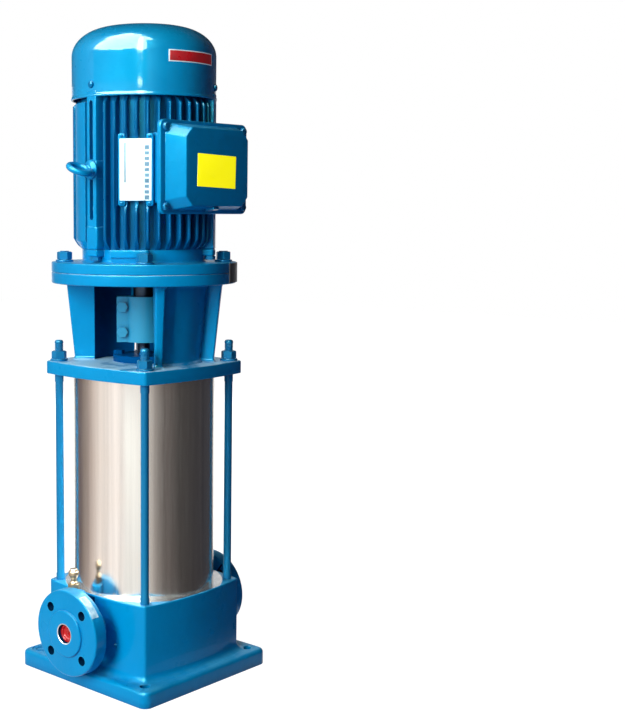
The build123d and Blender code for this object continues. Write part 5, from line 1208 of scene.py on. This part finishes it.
def makeStudio():
    half = studio["floor"]
    floorMesh = bpy.data.meshes.new("floor")
    floorMesh.from_pydata([(-half, -half, 0), (half, -half, 0), (half, half, 0), (-half, half, 0)], [],
                          [(0, 1, 2, 3)])
    floor = putInScene("floor", floorMesh)
    floorMesh.materials.append(bpy.data.materials.new("paleFloor"))
    tree = bareTree(floorMesh.materials[0])
    plain = addNode(tree, "ShaderNodeBsdfDiffuse", {"Color": studio["floorBounce"]})
    shaded = addNode(tree, "ShaderNodeBsdfDiffuse", {"Color": studio["floorShade"]})
    away = addNode(tree, "ShaderNodeVectorMath", {0: objectPoint(tree)},
                   operation="LENGTH").outputs["Value"]
    glow = spread(tree, away, studio["floorStart"], studio["floorClear"], studio["floorGlow"], 1.05)
    bright = addNode(tree, "ShaderNodeEmission", {"Color": (1, 1, 1, 1), "Strength": glow})
    pale = addNode(tree, "ShaderNodeAddShader", {0: shaded.outputs[0], 1: bright.outputs[0]})
    endTree(tree, "ShaderNodeOutputMaterial", rayMix(tree, plain.outputs[0], pale.outputs[0]))
    world = bpy.data.worlds.new("studio")
    bpy.context.scene.world = world
    tree = bareTree(world)
    dim = addNode(tree, "ShaderNodeBackground",
                  {"Color": (0.7, 0.9, 1, 1), "Strength": studio["worldFill"]})
    white = addNode(tree, "ShaderNodeBackground", {"Color": (1, 1, 1, 1), "Strength": 1.0})
    endTree(tree, "ShaderNodeOutputWorld", rayMix(tree, dim.outputs[0], white.outputs[0]))


def glowTree(name, data):
    data.materials.append(bpy.data.materials.new(name))
    return bareTree(data.materials[0])


def showInGloss(name, data, tree, tone, power):  # a glowing panel that only reflections see
    glow = addNode(tree, "ShaderNodeEmission", {"Color": tone, "Strength": power})
    endTree(tree, "ShaderNodeOutputMaterial", glow.outputs[0])
    thing = putInScene(name, data)
    thing.visible_camera = thing.visible_diffuse = thing.visible_shadow = False
    thing.visible_transmission = thing.visible_volume_scatter = False
    return thing


def makeHood():  # dark round hood high up, so that glossy paint doesn't mirror a white room
    mesh = bmesh.new()
    outline = [(3200, 1120), (3200, 3600), (2400, 4200), (0, 4200), (0, 4210), (2400, 4210), (3210, 3600),
               (3210, 1120)]
    revolve(mesh, outline, 48)
    bmesh.ops.scale(mesh, vec=(millimetre,) * 3, verts=mesh.verts)
    data = toData("hood", mesh)
    showInGloss("hood", data, glowTree("hood", data), studio["hoodTone"], 1.0)


def towards(azimuth, elevation):  # unit vector, azimuth from the camera's side
    turn, rise = math.radians(cameraSide + azimuth), math.radians(elevation)
    return Vector((math.cos(turn) * math.cos(rise), math.sin(turn) * math.cos(rise), math.sin(rise)))


# graded dark card that only reflections see: angles count from the camera's side, each with its tone
def makeCard(name, start, end, top, tones):
    mesh = bmesh.new()
    reach, steps = studio["cardReach"], 32
    rows = []
    for radius, level in ((0.24, 0.002), (reach * 0.6, 0.002), (reach - 0.1, 0.01), (reach, 0.12),
                          (reach, top)):
        row = []
        for n in range(steps + 1):
            angle = math.radians(start + (end - start) * n / steps)
            row.append(mesh.verts.new((radius * math.cos(angle), radius * math.sin(angle), level)))
        rows.append(row)
    for low, high in zip(rows, rows[1:]):
        for n in range(steps):
            mesh.faces.new((low[n], low[n + 1], high[n + 1], high[n]))
    data = toData(name, mesh)
    tree = glowTree(name, data)
    parts = addNode(tree, "ShaderNodeSeparateXYZ", {0: objectPoint(tree)})
    heading = math2(tree, "ARCTAN2", parts.outputs["Y"], parts.outputs["X"])
    share = spread(tree, heading, math.radians(start), math.radians(end))
    ramp = addNode(tree, "ShaderNodeValToRGB", {"Fac": share})
    while len(ramp.color_ramp.elements) < len(tones):
        ramp.color_ramp.elements.new(0.5)
    for element, (angle, tone) in zip(ramp.color_ramp.elements, tones):
        element.position = (angle - start) / (end - start)
        element.color = (*tone, 1.0)
    around = addNode(tree, "ShaderNodeCombineXYZ", {"X": heading}).outputs[0]
    streak = spread(tree, noise(tree, around, 9.0, 5.0, 0.7), 0.3, 0.7, 0.72, 1.25)
    card = showInGloss(name, data, tree, ramp.outputs["Color"], streak)
    card.rotation_euler = (0, 0, math.radians(cameraSide))


# bright window that only reflections see: heading, low and high elevation of each column
def makeGlint(name, columns, power):
    mesh = bmesh.new()
    rows, steps = [], 24
    for heading, low, high in columns:
        row = []
        for n in range(steps + 1):
            point = towards(heading, low + (high - low) * n / steps) * studio["glintReach"]
            row.append(mesh.verts.new(point + Vector((0, 0, studio["glintCentre"]))))
        rows.append(row)
    for left, right in zip(rows, rows[1:]):
        for n in range(steps):
            mesh.faces.new((left[n], right[n], right[n + 1], left[n + 1]))
    data = toData(name, mesh)
    showInGloss(name, data, glowTree(name, data), studio["glintTone"], power)


def makeLamp(name, azimuth, elevation, width, height, power, colour):
    light = bpy.data.lights.new(name, "AREA")
    light.shape, light.size, light.size_y = "RECTANGLE", width, height
    light.energy, light.color = power, colour
    lamp = putInScene(name, light)
    target = Vector((0, 0, studio["lampCentre"]))
    lamp.location = target + studio["lampReach"] * towards(azimuth, elevation)
    lamp.rotation_euler = (target - lamp.location).to_track_quat("-Z", "Y").to_euler()
    lamp.visible_glossy = False


makeStudio()
makeHood()
makeCard("cardRight", start=4, end=150, top=studio["cardTop"],
         tones=[(4, (0.85, 0.84, 0.83)), (10, (0.66, 0.63, 0.60)), (22, (0.27, 0.25, 0.24)),
                (31, (0.17, 0.155, 0.15)), (32, (0.07, 0.06, 0.06)), (33.5, (0.20, 0.18, 0.175)),
                (54, (0.09, 0.085, 0.085)), (56, (0.03, 0.025, 0.025)), (58, (0.085, 0.08, 0.08)),
                (95, (0.05, 0.048, 0.055)), (99, (0.05, 0.048, 0.055)), (100.5, (0.14, 0.13, 0.14)),
                (102, (0.045, 0.045, 0.055)), (112, (0.05, 0.05, 0.06)), (150, (0.09, 0.09, 0.11))])
makeCard("cardLeft", start=-150, end=-84, top=studio["cardTop"],
         tones=[(-150, (0.10, 0.085, 0.09)), (-122, (0.22, 0.17, 0.17)), (-108, (0.34, 0.29, 0.26)),
                (-98, (0.55, 0.46, 0.42)), (-84, (0.92, 0.82, 0.76))])
makeCard("cardWarm", start=-84, end=-30, top=studio["warmTop"],
         tones=[(-84, (1.0, 0.90, 0.84)), (-74, (1.22, 1.14, 1.08)), (-62, (1.30, 1.25, 1.2)),
                (-60, (0.8, 0.74, 0.7)), (-58, (1.25, 1.2, 1.17)), (-38, (1.5, 1.46, 1.43)),
                (-36.5, (0.4, 0.36, 0.34)), (-35, (1.45, 1.42, 1.4)), (-30, (1.3, 1.3, 1.3))])
# columns of the window, 5.4 degrees apart, with a ragged lower edge
ragged = [2.0, 0.0, 1.6, 3.4, 0.5, 4.2, 2.2, 5.0, 1.2, 3.0, 0.2, 2.6, 6.0, 4.0, 7.5, 5.5]
turns = [-92 + 5.4 * n for n in range(len(ragged))]
window = [(turn, 7.9 + 0.4 * step + 0.3 * max(0, -64 - turn), 80) for turn, step in zip(turns, ragged)]
makeGlint("windowGlint", window, power=36)
makeGlint("wingGlint", [(-2, 8.4, 74), (6, 9.5, 70), (18, 13, 56)], power=36)
makeGlint("stripGlint", [(-12, 8, 72), (-8, 7.4, 72), (-2, 7.4, 66)], power=70)
makeGlint("spotGlint", [(-10, 4.9, 5.3), (-3, 4.9, 5.3)], power=50)
lamps = {"key": {"azimuth": -36, "elevation": 17, "width": 1.0, "height": 1.7, "power": 90,
                 "colour": (0.9, 1.08, 1.0)},
         "fill": {"azimuth": 48, "elevation": 8, "width": 1.2, "height": 1.6, "power": 0.9,
                  "colour": (0.3, 0.3, 1.0)},
         "back": {"azimuth": 180, "elevation": 14, "width": 1.6, "height": 1.7, "power": 55,
                  "colour": (0.9, 1.05, 1.0)}}
for name, values in lamps.items():
    makeLamp(name, **values)

# camera, as fitted to the photo: focal length, size and the pump's own centre line in pixels
lens = {"focal": 1246.54, "width": 625, "height": 718, "centre": 144, "sensor": 36.0,
        "place": (-1.2086, -1.1869, 0.6230), "tilt": 83.51, "heading": -45.52}
camera = bpy.data.cameras.new("camera")
camera.sensor_width = lens["sensor"]
camera.lens = lens["sensor"] * lens["focal"] / lens["height"]
camera.shift_x = (lens["width"] / 2 - lens["centre"]) / lens["height"]
camera.clip_end = 50
view = putInScene("camera", camera)
view.location = lens["place"]
view.rotation_euler = (math.radians(lens["tilt"]), 0, math.radians(lens["heading"]))
bpy.context.scene.camera = view
bpy.context.scene.view_settings.view_transform = "Standard"
